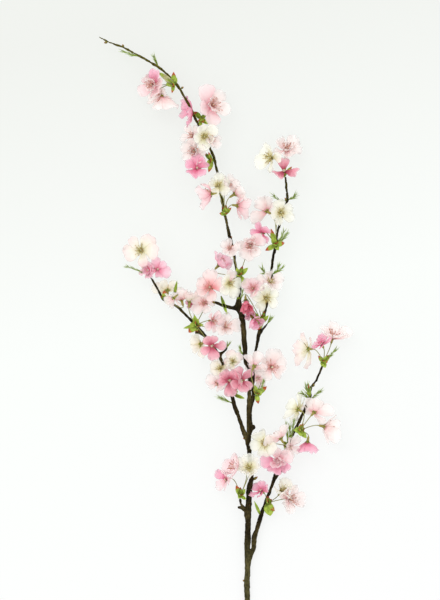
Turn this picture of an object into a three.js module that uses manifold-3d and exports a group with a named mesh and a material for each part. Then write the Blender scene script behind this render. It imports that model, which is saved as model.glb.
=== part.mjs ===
// A cut cherry sprig in blossom, lying on a surface. Millimetres, +Z up.
// +Y runs from the cut end to the tip, and the surface is the plane z = 0.
// The wood is one solid. Each cluster of bracts with its flower stalks is a solid of its own,
// and so is each bloom, or each pair or trio of blooms whose petals have grown into one another.
import * as THREE from 'three';
import { mergeVertices } from 'three/addons/utils/BufferGeometryUtils.js';
import Module from 'manifold-3d';

const wasm = await Module();
wasm.setup();

// Places are given on a layout grid as column (to the right), row (down) and height in mm.
const GRID_STEP = 1.5;
const ORIGIN_COLUMN = 223;
const ORIGIN_ROW = 328;

const GAP = 0.3;             // air between neighbouring solids
const CRUMB = 0.1;           // details of a cut edge smaller than this are smoothed away
const PETAL_THICKNESS = 0.9;
const LEAF_THICKNESS = 0.9;
const STALK_RADIUS = 0.9;
const CALYX_TOP_RADIUS = 2.4;
const CALYX_FOOT_RADIUS = 1.3;
const CALYX_LENGTH = 7;
const STAMEN_RADIUS = 0.6;
const WOOD_SIDES = 8;
const TWIG_SIDES = 5;
const SHOOT_SIDES = 3;
const STALK_SIDES = 3;
const LARGE_BLOOM = 45;      // a bloom this wide or wider has fuller petal outlines and stamens
const SMALL_BLOOM = 38;      // one narrower than this has petals without a notch

// The stem lies on its cut end and climbs until the blooms below it clear the surface.
const CUT_END_ROW = 620;
const CUT_END_HEIGHT = 3.6;
const STEM_RISE = 24.4;
const RISE_ROWS = 250;
const TIP_NOD = 3;

// Wood: column, row and thickness in grid steps.
const STEM = [
  [247.5, 620, 5.1], [247.5, 600, 5], [247, 587, 6], [247.7, 575, 5.1], [248, 558, 6.3],
  [247.7, 545, 6.3], [248.2, 524, 5.4], [248.3, 513, 7.2], [248.9, 504, 5.3], [249.4, 488, 5.9],
  [252, 479, 4.2], [251, 471, 3.9], [249.2, 453, 4], [249.4, 443, 5.8], [249.4, 426, 4.9],
  [249, 406, 5.4], [249.6, 389.6, 3.5], [249.6, 374, 3], [250.6, 370, 3.4], [245.8, 363, 4],
  [244.4, 343, 5], [243.5, 330, 5.2], [241.9, 316, 5.8], [239.2, 306.4, 5.8], [238.6, 297, 3.4],
  [240, 289, 2.8], [236.8, 273, 2.4], [233.5, 252, 2.6], [230.3, 239.2, 3.4], [226.8, 223, 2.4],
  [223.1, 207, 2.5], [218.5, 176.3, 2.3], [214, 157.5, 2.6], [204, 135, 2.3], [195, 117.7, 2.5],
  [188.5, 104, 2.4], [180.5, 90, 2.3], [175.5, 82.8, 2.7], [164.2, 71.5, 1.9], [158.5, 66.9, 2.4],
  [149, 61.3, 1.8], [141.2, 56.5, 2.3], [135.4, 53.7, 1.7], [123, 46.9, 1.7], [110, 42.4, 1.4],
  [98.8, 36.6, 0.8],
];

// Branches and twigs: their heights in mm at both ends, their number of sides and their points.
const BRANCHES = [
  { from: 7.3, to: 22, sides: TWIG_SIDES, points: [
    [249.5, 561, 5], [253.8, 551, 4.6], [254.4, 538, 5], [257.5, 530, 3.9], [260.7, 519, 4.7],
    [263.6, 509, 3], [270.8, 490.2, 2.8], [276, 475.8, 4], [278.5, 467, 3], [284, 455, 3],
    [288.5, 447.3, 3.2], [290.5, 438.6, 3.6], [294.6, 431.9, 3.2], [302.8, 415, 2.5],
    [310, 399, 3.2], [311, 388, 2.3], [316.9, 380, 2], [323.2, 364.5, 2.1]] },
  { from: 13.3, to: 18, sides: SHOOT_SIDES, points: [
    [276, 475.8, 2.4], [281.9, 471.9, 1.8], [284.9, 467.8, 2], [286.5, 466, 1]] },
  { from: 23, to: 24, sides: TWIG_SIDES, points: [
    [248.3, 443, 4.6], [243.3, 431.2, 4.3], [239.8, 420.2, 3.6], [234.6, 405.8, 4.2],
    [231.7, 394.8, 3.2], [224.6, 367, 3.8], [219, 355.2, 3], [213.5, 347.5, 2.6],
    [201.6, 331.6, 3.8], [193.1, 322.3, 2.5], [177.5, 306.7, 2.3], [170, 303, 2.3],
    [162.6, 298.6, 2.4], [155.4, 285, 2.1], [149.9, 276.4, 1.6]] },
  { from: 23.7, to: 24, sides: SHOOT_SIDES, points: [[201, 333, 2.4], [194.8, 332.7, 1.6]] },
  { from: 23.4, to: 26, sides: SHOOT_SIDES, points: [
    [222.5, 358, 2.4], [226, 350, 2], [227.5, 344, 1.6], [230, 339.6, 1]] },
  { from: 23.2, to: 25, sides: SHOOT_SIDES, points: [
    [231.7, 403, 2.4], [226.5, 400.6, 1.6], [221.3, 398.3, 1.4], [216.7, 396, 1]] },
  { from: 26.5, to: 28, sides: TWIG_SIDES, points: [
    [250.5, 407, 3], [254, 399.4, 2.8], [253.4, 390, 2.4], [254.3, 356, 2.4], [257.7, 340.8, 3],
    [259.2, 332, 4], [263, 320, 2.8], [271.8, 284, 2.4], [272.2, 277.5, 2.8], [271, 273.5, 2.4],
    [273.6, 254, 2.6], [275.6, 248.5, 3.4], [277.3, 232.1, 2], [287.6, 200, 2.3],
    [286.2, 186, 2.1], [285.3, 176.6, 1.7]] },
  { from: 27.3, to: 28, sides: SHOOT_SIDES, points: [
    [260.5, 332, 2.4], [264.2, 327.7, 1.8], [267.1, 324.2, 1.8], [272.3, 315, 1]] },
  { from: 28, to: 31, sides: TWIG_SIDES, points: [
    [239.5, 307.5, 3.6], [232.9, 308.1, 3.2], [228.3, 306.9, 2.6], [222.5, 305.2, 2.2],
    [217.3, 303.2, 1.6]] },
  { from: 13, to: 17, sides: TWIG_SIDES, points: [
    [247, 513, 3.5], [244.2, 509.8, 3.4], [240.8, 504.6, 2.3], [240.2, 499.4, 2.2]] },
  { from: 14, to: 16, sides: SHOOT_SIDES, points: [[243.5, 510, 2.4], [237.3, 507.5, 2]] },
  { from: 24, to: 26, sides: SHOOT_SIDES, points: [[250, 430, 3], [255, 425, 2.2]] },
  { from: 26, to: 27, sides: SHOOT_SIDES, points: [
    [141.2, 56.5, 2], [134.8, 55.4, 1.2], [129, 54.5, 1.3], [118.7, 50.8, 0.8]] },
  { from: 26, to: 29, sides: SHOOT_SIDES, points: [
    [158.5, 66.9, 2], [156.2, 62.3, 1.4], [153.3, 53.1, 0.9]] },
  { from: 28, to: 31, sides: SHOOT_SIDES, points: [
    [239, 303, 2.2], [242.1, 295.4, 1.4], [243.3, 286.2, 0.9]] },
  { from: 28, to: 33, sides: SHOOT_SIDES, points: [
    [271.5, 274.8, 2.4], [276.9, 270.6, 1.5], [279.5, 264, 1.2], [280.7, 260.2, 0.9]] },
  { from: 28, to: 31, sides: SHOOT_SIDES, points: [
    [270.8, 274.2, 2], [264.8, 273.5, 1.3], [261, 267, 1.2], [259.6, 262.5, 0.9]] },
  { from: 28, to: 29, sides: SHOOT_SIDES, points: [
    [243.9, 354, 2.2], [241, 350, 1.4], [239.5, 343.1, 0.9]] },
  { from: 21, to: 26, sides: SHOOT_SIDES, points: [
    [310, 399, 3], [309.2, 391, 4.4], [309.2, 386, 0.9]] },
  { from: 21, to: 25, sides: SHOOT_SIDES, points: [
    [310, 400, 3], [304.5, 395, 3.6], [300.4, 391.2, 0.9]] },
  { from: 21, to: 28, sides: SHOOT_SIDES, points: [
    [309.7, 399, 2.4], [306.6, 388, 1.5], [306.7, 379.5, 0.9]] },
  { from: 21, to: 28, sides: SHOOT_SIDES, points: [
    [310, 400, 2.4], [317.9, 393.8, 1.6], [325.6, 389.2, 0.9]] },
  { from: 28, to: 33, sides: SHOOT_SIDES, points: [
    [287.6, 200, 2.6], [292.8, 198, 2], [296.8, 193, 0.9]] },
  { from: 28, to: 36, sides: SHOOT_SIDES, points: [
    [287.6, 200.5, 2.8], [280.5, 201, 3.4], [274.9, 198, 2], [270.4, 192.6, 0.9]] },
];

// Blooms: name, column, row, height of the middle in mm, width in grid steps, the way it faces and
// its colour.
const BLOOMS = {
  a1: [151, 85, 33, 27, [-0.65, -0.1, 0.75], 'pale'],
  a2: [164.5, 101, 19.5, 28, [0.15, -0.95, -0.25], 'pale'],
  b1: [213.5, 106, 36, 33, [0.45, 0.1, 0.88], 'pale'],
  c1: [188, 113, 30, 26, [-0.95, 0, 0.25], 'deep'],
  c2: [191, 135, 21, 25, [-0.6, 0.1, 0.7], 'pale'],
  c3: [203.5, 138, 41, 28, [0.15, -0.1, 0.95], 'white'],
  c4: [194, 151, 29, 28, [-0.35, -0.2, 0.9], 'pale', 0.31],
  c5: [197, 168, 36, 25, [0, 0.25, 0.95], 'deep'],
  d1: [217, 186, 42, 27, [0, 0.45, 0.88], 'white'],
  d2: [206, 195.4, 44, 29, [-0.9, -0.1, -0.12], 'pale', 0.52],
  d3: [238, 192, 31, 23, [0.75, 0.5, -0.3], 'pale'],
  d4: [241.5, 206.1, 23, 24, [0.85, -0.1, -0.45], 'pale', 0.31],
  e1: [272, 157, 34, 33, [0.5, 0.05, 0.85], 'white'],
  e2: [285, 150, 24, 26, [0.1, 0.6, 0.75], 'pale'],
  e3: [283, 170.5, 38, 25, [0, -0.1, 0.97], 'deep'],
  f1: [264, 209, 14, 24, [-0.6, 0.4, -0.6], 'pale'],
  f2: [281, 213, 43, 29, [0.25, 0, 0.95], 'white'],
  f3: [261, 234, 36, 24, [-0.4, -0.3, 0.85], 'deep'],
  g1: [250, 246, 42, 30, [0, -0.1, 0.97], 'pale'],
  g2: [230, 248, 41, 21, [-0.1, 0.2, 0.95], 'pale', 0.31],
  g3: [222, 262, 24, 24, [0.5, 0.5, 0.3], 'pale'],
  h1: [230, 284, 39, 30, [-0.1, 0, 0.95], 'white'],
  h2: [209, 288, 33, 27, [-0.2, 0.2, 0.9], 'pale'],
  h3: [204, 303, 28, 25, [-0.2, 0, 0.9], 'pale', 0.2],
  i1: [141, 250, 36, 34, [-0.1, 0.05, 0.98], 'pale'],
  i2: [147, 271, 31.6, 20, [-0.5, -0.1, 0.85], 'deep'],
  i3: [158, 269, 31, 22, [0.4, 0.1, 0.9], 'deep'],
  j1: [166, 287, 12, 21, [-0.1, 0.6, -0.6], 'pale', 0.9],
  j2: [171.3, 300.5, 36, 19, [-0.6, -0.5, -0.4], 'pale', 1.15],
  j3: [180, 295, 32, 21, [-0.3, 0.4, 0.8], 'pale'],
  j4: [191, 297, 26, 22, [0.1, 0.6, -0.5], 'pale'],
  j5: [191.8, 308, 20, 17, [-0.1, 0.3, 0.9], 'deep', 0.1],
  k1: [213.7, 320.6, 42, 24, [0.6, 0, 0.7], 'pale', 1.15],
  k2: [226, 326, 38, 28, [0.2, 0.25, 0.93], 'pale'],
  k3: [209.8, 345.7, 41, 26, [0, 0, 1], 'deep'],
  k4: [197, 345, 18, 21, [-0.7, -0.2, -0.5], 'pale'],
  l1: [230.3, 380.3, 38, 30, [0, 0, 1], 'deep'],
  l2: [242.5, 382, 40, 26, [0.55, -0.1, 0.8], 'deep'],
  l3: [220, 368, 28, 21, [-0.4, 0.3, 0.8], 'pale', 0.31],
  l4: [233, 361, 30, 21, [0, 0.5, 0.8], 'pale'],
  m1: [275, 367, 36, 32, [0.25, 0.2, 0.93], 'pale'],
  m2: [255.5, 363, 37, 22, [0.3, 0.6, -0.6], 'pale'],
  n1: [303, 349, 22, 31, [-0.75, 0, -0.55], 'pale'],
  n2: [320, 342, 30, 19, [-0.3, 0.8, -0.4], 'deep'],
  n3: [334, 335, 20, 28, [0.35, 0.9, -0.1], 'pale'],
  p1: [294, 408, 22, 26, [-0.7, 0.3, -0.6], 'pale'],
  p2: [317, 409, 30, 27, [0.55, 0.55, -0.6], 'pale'],
  p3: [330, 428, 20.5, 30, [0.9, -0.2, -0.3], 'pale'],
  p4: [307, 447, 22, 24, [-0.15, -0.97, -0.1], 'deep'],
  q1: [264, 443, 36, 29, [-0.1, -0.05, 0.97], 'white'],
  q2: [278.5, 434.3, 33, 25, [-0.4, 0.7, -0.5], 'pale', 1.15],
  q3: [278, 461, 29, 29, [0, -0.1, 0.98], 'deep'],
  r1: [234, 466.1, 27, 27, [-0.7, 0.3, 0.3], 'pale', 0.52],
  r2: [249, 467, 38, 26, [-0.2, 0.1, 0.95], 'white'],
  r3: [224, 480, 22, 24, [-0.7, -0.1, 0.5], 'deep'],
  s1: [260.5, 490.5, 26, 22, [-0.5, 0.5, 0.6], 'deep'],
  s2: [284.5, 488.9, 16, 21, [0.6, 0.5, -0.5], 'pale', 1.15],
  s3: [291, 500, 22, 30, [0.55, 0, 0.8], 'pale'],
  t1: [247, 311, 41, 19, [0.2, -0.3, 0.9], 'deep', 0.31],
  t2: [256, 320, 36, 19, [0.1, -0.5, 0.7], 'deep', 0.52],
  u1: [253, 289, 34, 22, [0, 0.2, 0.95], 'white', 0.1],
  u2: [270, 284, 37, 26, [0.3, 0.4, 0.8], 'pale'],
  u3: [266, 300, 38, 28, [0, -0.1, 0.97], 'white'],
};

// The blooms that share a node.
const BLOOM_NODES = [
  ['a1'], ['a2'], ['b1'], ['c1'], ['c2', 'c3', 'c4'], ['c5'], ['d1', 'd2'], ['d3', 'd4'],
  ['e1', 'e2'], ['e3'], ['f1'], ['f2'], ['f3'], ['g1', 'g2'], ['g3'], ['h1', 'h2', 'h3'],
  ['i1'], ['i2', 'i3'], ['j1'], ['j2', 'j3', 'j4', 'j5'], ['k1', 'k2'], ['k3'], ['k4'],
  ['l1', 'l2'], ['l3', 'l4'], ['m1', 'm2'], ['n1'], ['n2'], ['n3'], ['p1'], ['p2'], ['p3'], ['p4'],
  ['q1', 'q2'], ['q3'], ['r1', 'r2'], ['r3'], ['s1'], ['s2', 's3'], ['t1', 't2'],
  ['u1', 'u2', 'u3'],
];

// Bract clusters: the bud they grow from (column, row, height), its radius in mm, the blooms it
// carries, its leaves (tip column and row, width in grid steps, lift of the tip in mm) and shoots.
const CLUSTERS = {
  a: { bud: [174, 84, 28], radius: 5, blooms: ['a1', 'a2'], leaves: [
    [173.5, 72, 6, 4], [164.8, 80.2, 3.4, 3], [172, 93.5, 3.4, 2]] },
  b: { bud: [201, 119, 29], radius: 5.4, blooms: ['b1', 'c1', 'c2', 'c3'], leaves: [
    [194, 111, 4.4, 4], [207.5, 113, 3.4, 3], [209.4, 124.5, 4, 5], [200.3, 127, 3.4, 3]] },
  c: { bud: [212, 160.5, 28], radius: 5.2, blooms: ['c4', 'c5'], leaves: [
    [204.2, 152.9, 4, 3], [208.7, 172.8, 5, 3], [208.3, 152, 2.6, 5]] },
  d: { bud: [225, 214, 29], radius: 5.6, blooms: ['d1', 'd2', 'd3', 'd4'], leaves: [
    [226, 204.5, 3.4, 5], [231.5, 207.5, 3.4, 4], [219.5, 213.5, 3.4, 3]] },
  e: { bud: [285.5, 174, 28.6], radius: 4, blooms: ['e1', 'e2', 'e3'], leaves: [
    [292, 166.5, 3.4, 3]] },
  f: { bud: [275.5, 245, 29], radius: 5.6, blooms: ['f1', 'f2', 'f3'], leaves: [
    [270.6, 228.5, 4.6, 4], [265.2, 250.5, 4, 3], [284.5, 243, 4.4, 3]],
    shoots: [[[281, 238, 32], [283.4, 232, 35]], [[283, 239.5, 31], [287, 233.5, 33]]] },
  g: { bud: [239.5, 275.5, 29], radius: 5.6, blooms: ['g1', 'g2', 'g3', 'h1'], leaves: [
    [242.7, 265.5, 3.6, 5], [248, 267.8, 4, 3], [245.6, 285.5, 4.6, 3]] },
  i: { bud: [149, 275.5, 24], radius: 4, blooms: ['i1', 'i2', 'i3'], leaves: [
    [142, 267, 3.4, 3]],
    shoots: [[[139.2, 271.2, 26], [127.1, 266.3, 28]]] },
  j: { bud: [165, 299.5, 24], radius: 4.6, blooms: ['j1', 'j2', 'j3'], leaves: [
    [164.3, 290.5, 5.6, 4], [176.2, 285, 2.6, 9]] },
  k: { bud: [195.8, 325, 24], radius: 5.6,
    blooms: ['h2', 'h3', 'j4', 'j5', 'k1', 'k2', 'k3', 'k4'],
    leaves: [[194.5, 315, 4, 5], [188.5, 332.5, 6, 3], [203.5, 325, 3.4, 3],
      [183, 328.5, 3, 3]] },
  l: { bud: [233.6, 394.5, 24], radius: 5, blooms: ['l1', 'l2', 'l3', 'l4'], leaves: [
    [246, 399, 3, 6]],
    shoots: [[[235, 391, 27], [236.6, 385, 28]]] },
  t: { bud: [262, 322, 29], radius: 5, blooms: ['t1', 't2', 'u1', 'u2', 'u3'], leaves: [
    [251.5, 310.4, 3.4, 3], [268.5, 315.5, 3.6, 4], [257.2, 329.8, 5, 3]] },
  m: { bud: [256.5, 394, 28], radius: 5, blooms: ['m1', 'm2'], leaves: [
    [255, 385.2, 4, 3], [266.9, 386.5, 4.6, 3], [258.3, 403.8, 4, 2]],
    shoots: [[[261.2, 387.9, 32], [264, 381, 34]]] },
  n: { bud: [323.5, 362, 22], radius: 5, blooms: ['n1', 'n2', 'n3'], leaves: [
    [318.5, 355.8, 3.8, 4], [329.9, 355, 4.4, 4], [325.5, 368, 4.4, 2]] },
  p: { bud: [300.5, 430.5, 21], radius: 5.4, blooms: ['p1', 'p2', 'p3', 'p4'], leaves: [
    [294, 430, 5, 4], [303.4, 423, 3.4, 5], [306.6, 438.4, 4.4, 4]] },
  q: { bud: [287.5, 446, 18], radius: 5, blooms: ['q1', 'q2', 'q3'], leaves: [],
    shoots: [[[287.6, 433, 22], [286.4, 426.8, 24]], [[293, 430, 21], [294.1, 422.2, 22]]] },
  r: { bud: [240.6, 496, 17], radius: 5, blooms: ['r1', 'r2', 'r3'], leaves: [
    [236.2, 486, 4.6, 4], [245.4, 489.6, 3.4, 3], [247, 500.5, 3, 6]] },
  s: { bud: [268, 503.5, 14], radius: 5, blooms: ['s1', 's2', 's3'], leaves: [
    [271, 518, 9, 4], [274.2, 511.4, 4, 6]] },
};

const UP = new THREE.Vector3(0, 0, 1);

function place(column, row, height) {
  return new THREE.Vector3(
    (column - ORIGIN_COLUMN) * GRID_STEP, (ORIGIN_ROW - row) * GRID_STEP, height);
}

// A repeatable number from -1 to 1 for the small differences between petals.
function wobble(seed) {
  const wave = Math.sin(seed * 12.9898) * 43758.5453;
  return 2 * (wave - Math.floor(wave)) - 1;
}

function closedForm(geometry) {
  geometry.deleteAttribute('normal');
  geometry.deleteAttribute('uv');
  return mergeVertices(geometry, 1e-5);
}

function solid(geometry) {
  return new wasm.Manifold(new wasm.Mesh({
    numProp: 3,
    vertProperties: Float32Array.from(geometry.attributes.position.array),
    triVerts: Uint32Array.from(geometry.index.array),
  }));
}

function joined(solids) {
  return solids.reduce((whole, piece) => whole.add(piece));
}

// A round stem through points that each carry their own radius.
function stalk(points, sides) {
  const spans = points.length - 1;
  const form = closedForm(new THREE.CylinderGeometry(1, 1, 1, sides, spans));
  const along = points.map((point, index) => {
    const before = points[Math.max(index - 1, 0)].at;
    const after = points[Math.min(index + 1, spans)].at;
    return after.clone().sub(before).normalize();
  });
  const across = [new THREE.Vector3(0, 1, 0).cross(along[0]).add(new THREE.Vector3(1e-3, 0, 0))];
  for (let index = 0; index <= spans; index += 1) {
    const side = across[Math.max(index - 1, 0)].clone();
    side.addScaledVector(along[index], -side.dot(along[index])).normalize();
    across[index] = side;
  }
  const position = form.attributes.position;
  for (let index = 0; index < position.count; index += 1) {
    const ring = Math.round((0.5 - position.getY(index)) * spans);
    const { at, radius } = points[ring];
    const upward = along[ring].clone().cross(across[ring]);
    const moved = at.clone()
      .addScaledVector(across[ring], position.getX(index) * radius)
      .addScaledVector(upward, position.getZ(index) * radius);
    position.setXYZ(index, moved.x, moved.y, moved.z);
  }
  return solid(form);
}

function stemHeight(row) {
  const climbed = THREE.MathUtils.smoothstep(CUT_END_ROW - row, 0, RISE_ROWS);
  const nod = THREE.MathUtils.smoothstep(ORIGIN_ROW - row, 0, ORIGIN_ROW);
  return CUT_END_HEIGHT + STEM_RISE * climbed - TIP_NOD * nod;
}

function woodPoint(column, row, height, thickness, grow) {
  return { at: place(column, row, height), radius: thickness * GRID_STEP / 2 + grow };
}

function branch({ from, to, sides, points }, grow) {
  const last = points.length - 1;
  return stalk(points.map(([column, row, thickness], index) => (
    woodPoint(column, row, from + (to - from) * index / last, thickness, grow))), sides);
}

function wood(grow = 0) {
  const stem = stalk(STEM.map(([column, row, thickness]) => (
    woodPoint(column, row, stemHeight(row), thickness, grow))), WOOD_SIDES);
  return joined([stem, ...BRANCHES.map((shape) => branch(shape, grow))]);
}

// A thin blade between two faces that are split into the same triangles, with a rim between them.
function blade(corners, top, rim, thickness) {
  const total = corners.length;
  const vertices = new Float32Array(total * 6);
  corners.forEach((at, index) => {
    vertices.set([at.x, at.y, at.z + thickness / 2], index * 3);
    vertices.set([at.x, at.y, at.z - thickness / 2], (total + index) * 3);
  });
  const faces = [];
  for (const [a, b, c] of top) {
    faces.push(a, b, c, total + a, total + c, total + b);
  }
  rim.forEach((index, place) => {
    const next = rim[(place + 1) % rim.length];
    faces.push(index, total + index, total + next, index, total + next, next);
  });
  const geometry = new THREE.BufferGeometry();
  geometry.setAttribute('position', new THREE.BufferAttribute(vertices, 3));
  geometry.setIndex(faces);
  return geometry;
}

// The triangles of a disc with this many corners on its edge: corner 0 is its middle.
function fan(count) {
  const index = Array.from(new THREE.CircleGeometry(1, count).index.array);
  const wrapped = index.map((corner) => (corner > count ? 1 : corner));
  return Array.from({ length: count }, (_, face) => wrapped.slice(face * 3, face * 3 + 3));
}

function spread(at, middle, grow) {
  const away = at.clone().sub(middle).setZ(0).normalize();
  return at.clone().addScaledVector(away, grow);
}

// A petal's edge from one valley to the next, in petal lengths: along, across and rise.
const FULL_PETAL = [
  [0.36, -0.23, 0.02], [0.7, -0.45, 0.08], [0.98, -0.22, 0.03], [0.89, 0, 0.02],
  [0.98, 0.22, 0.03], [0.7, 0.45, 0.08], [0.36, 0.23, 0.02],
];
const PLAIN_PETAL = [
  [0.57, -0.38, 0.05], [0.95, -0.25, 0.04], [0.87, 0, 0.02], [0.95, 0.25, 0.04],
  [0.57, 0.38, 0.05],
];
const SMALL_PETAL = [[0.57, -0.37, 0.05], [0.93, -0.22, 0.04], [0.93, 0.22, 0.04], [0.57, 0.37, 0.05]];
const PETAL_MIDDLE = [0.56, 0, -0.06];
const PETALS = 5;
const VALLEY = 0.18;          // how near the middle of the bloom two petals part, in petal lengths
const PETAL_PITCH = { pale: 0.42, white: 0.36, deep: 0.34 };
const CUPPED_PITCH = 0.72;    // petals of a bloom seen from the side or from behind
const SPIN_STEP = 2.4;        // turns each bloom in its list a different way, unless it states its own
const STAMENS = 3;
const STAMEN_LEAN = 0.42;

function bloomFrame(name) {
  const [column, row, height, steps, towards, colour, spin] = BLOOMS[name];
  const facing = new THREE.Vector3(...towards).normalize();
  const width = steps * GRID_STEP;
  const pitch = facing.z > 0.5 ? PETAL_PITCH[colour] : CUPPED_PITCH;
  const reach = width / 2 / Math.cos(pitch);
  const depth = reach * Math.sin(pitch);
  const heart = place(column, row, height).addScaledVector(facing, -depth / 2);
  const turn = spin ?? SPIN_STEP * Object.keys(BLOOMS).indexOf(name);
  return { facing, width, pitch, reach, heart, turn };
}

// All the petals of a bloom as one blade, cut between them almost to the middle.
function corolla({ width, reach, pitch, turn }, grow) {
  let edge = width < SMALL_BLOOM ? SMALL_PETAL : PLAIN_PETAL;
  if (width >= LARGE_BLOOM) edge = FULL_PETAL;
  const middle = new THREE.Vector3();
  const corners = [middle];
  const top = [];
  const rim = [];
  const valley = (petal) => 1 + (petal % PETALS) * (edge.length + 2);
  for (let petal = 0; petal < PETALS; petal += 1) {
    const seed = turn + petal;
    const length = reach * (1 + 0.07 * wobble(seed));
    const raised = new THREE.Matrix4().makeRotationZ(turn + petal * 2 * Math.PI / PETALS)
      .multiply(new THREE.Matrix4().makeRotationY(-pitch - 0.1 * wobble(seed + 0.5)));
    const point = ([along, across, rise], lift) => (
      new THREE.Vector3(along, across * Math.cos(pitch), rise + lift).multiplyScalar(length));
    const parting = turn + (petal - 0.5) * 2 * Math.PI / PETALS;
    const centre = point(PETAL_MIDDLE, 0);
    corners.push(new THREE.Vector3(
      Math.cos(parting), Math.sin(parting), Math.tan(pitch)).multiplyScalar(VALLEY * reach));
    corners.push(centre.clone().applyMatrix4(raised));
    edge.forEach((shape, index) => {
      const at = point(shape, 0.03 * wobble(seed + index));
      corners.push(spread(at, centre, grow).applyMatrix4(raised));
    });
    const first = valley(petal);
    const ring = [first, ...edge.map((_, index) => first + 2 + index), valley(petal + 1)];
    rim.push(...ring.slice(0, -1));
    top.push([0, first, valley(petal + 1)]);
    top.push(...fan(ring.length).map((face) => (
      face.map((corner) => (corner === 0 ? first + 1 : ring[corner - 1])))));
  }
  return blade(corners, top, rim, PETAL_THICKNESS + 2 * grow);
}

function bloom(name, grow) {
  const shape = bloomFrame(name);
  const { facing, width, reach, heart, turn } = shape;
  const parts = [corolla(shape, grow)];
  if (width >= LARGE_BLOOM) {
    for (let stamen = 0; stamen < STAMENS; stamen += 1) {
      const tall = reach * 0.5;
      const cone = closedForm(new THREE.ConeGeometry(STAMEN_RADIUS + grow, tall + grow, 3));
      cone.translate(0, tall / 2, 0).rotateX(Math.PI / 2).rotateY(STAMEN_LEAN);
      parts.push(cone.rotateZ(turn + stamen * 2 * Math.PI / STAMENS));
    }
  }
  const swing = new THREE.Quaternion().setFromUnitVectors(UP, facing);
  return joined(parts.map((geometry) => (
    solid(geometry.applyQuaternion(swing).translate(heart.x, heart.y, heart.z)))));
}

const SIDE_SHARE = 0.38;      // stalks meet the bud on their own side, a little to its front
const FRONT_SHARE = 0.22;

// The green cup under a bloom and the stalk that bends from it down to the cluster's bud.
function flowerStalk(name, bud, radius, grow) {
  const { facing, heart } = bloomFrame(name);
  const seat = PETAL_THICKNESS / 2 + GAP;
  const behind = (distance) => heart.clone().addScaledVector(facing, -distance);
  const foot = behind(seat + CALYX_LENGTH);
  const side = foot.clone().sub(bud).setZ(Math.max(foot.z - bud.z, 0)).normalize();
  const end = bud.clone().addScaledVector(side, radius * SIDE_SHARE)
    .addScaledVector(UP, radius * FRONT_SHARE);
  const bend = behind(seat + CALYX_LENGTH + foot.distanceTo(end) * 0.35);
  bend.z = Math.max(bend.z, Math.min(foot.z, end.z));
  const curve = new THREE.QuadraticBezierCurve3(foot, bend, end);
  const points = [
    { at: behind(seat - grow), radius: CALYX_TOP_RADIUS + grow },
    { at: foot, radius: CALYX_FOOT_RADIUS + grow },
    ...[0.5, 1].map((share) => ({
      at: curve.getPoint(share), radius: STALK_RADIUS + grow })),
  ];
  return stalk(points, STALK_SIDES);
}

const BROAD_LEAF = [
  [0, 0, 0], [0.46, -0.95, 0.06], [0.74, -0.8, 0.08], [1, 0, 0], [0.74, 0.8, 0.08],
  [0.46, 0.95, 0.06],
];
const NARROW_LEAF = [[0, 0, 0], [0.6, -0.95, 0.07], [1, 0, 0], [0.6, 0.95, 0.07]];
const BROAD_FROM = 4.2;      // leaves this many grid steps wide or wider are broad
const LEAF_MIDDLE = [0.58, 0, -0.04];

// A leaf that grows out of the bud to its tip.
function leaf([tipColumn, tipRow, width, lift], bud, grow) {
  const tip = place(tipColumn, tipRow, bud.z + lift);
  const length = bud.distanceTo(tip);
  const half = width * GRID_STEP / 2;
  const point = ([along, across, rise]) => (
    new THREE.Vector3(along * length, across * half, rise * length));
  const middle = point(LEAF_MIDDLE);
  const outline = width >= BROAD_FROM ? BROAD_LEAF : NARROW_LEAF;
  const edge = outline.map((shape) => spread(point(shape), middle, grow));
  const rim = edge.map((_, index) => index + 1);
  const geometry = blade([middle, ...edge], fan(edge.length), rim, LEAF_THICKNESS + 2 * grow);
  const level = Math.hypot(tip.x - bud.x, tip.y - bud.y);
  geometry.rotateY(-Math.atan2(lift, level));
  geometry.rotateZ(Math.atan2(tip.y - bud.y, tip.x - bud.x));
  return solid(geometry.translate(bud.x, bud.y, bud.z));
}

function cluster({ bud, radius, blooms, leaves, shoots = [] }, grow) {
  const middle = place(...bud);
  const knob = closedForm(new THREE.OctahedronGeometry(radius + grow, 0));
  const parts = [solid(knob.translate(middle.x, middle.y, middle.z))];
  for (const name of blooms) {
    parts.push(flowerStalk(name, middle, radius, grow));
  }
  for (const shape of leaves) {
    parts.push(leaf(shape, middle, grow));
  }
  for (const shape of shoots) {
    const last = shape.length - 1;
    parts.push(stalk([{ at: middle, radius: 1.2 + grow }, ...shape.map((point, index) => ({
      at: place(...point), radius: (index === last ? 0.6 : 1) + grow }))], STALK_SIDES));
  }
  return joined(parts);
}

const BELOW = closedForm(new THREE.BoxGeometry(2000, 2000, 200));
const underSurface = solid(BELOW.translate(0, 0, -100));

// Only the largest body is kept, so that no crumb of a cut petal or leaf stays behind.
function largestBody(shape) {
  const bodies = shape.decompose();
  return bodies.reduce((kept, body) => (body.volume() > kept.volume() ? body : kept));
}

function near(one, other) {
  const [a, b] = [one.boundingBox(), other.boundingBox()];
  return [0, 1, 2].every((axis) => a.min[axis] < b.max[axis] && b.min[axis] < a.max[axis]);
}

// Pieces are fitted in turn: the wood first, then the clusters, then the blooms. Each is cut
// clear of those before it by the gap.
const fitted = [];

function fit(name, build, colour) {
  let shape = build(0);
  for (const earlier of fitted) {
    if (near(shape, earlier.room)) shape = shape.subtract(earlier.room);
  }
  shape = largestBody(shape.subtract(underSurface).simplify(CRUMB));
  fitted.push({ name, shape, colour, room: build(GAP) });
}

fit('wood', wood, 'bark');
for (const [name, shape] of Object.entries(CLUSTERS)) {
  fit(`bracts_${name}`, (grow) => cluster(shape, grow), 'green');
}
for (const names of BLOOM_NODES) {
  const build = (grow) => joined(names.map((name) => bloom(name, grow)));
  fit(`bloom_${names.join('_')}`, build, BLOOMS[names[0]][5]);
}

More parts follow.
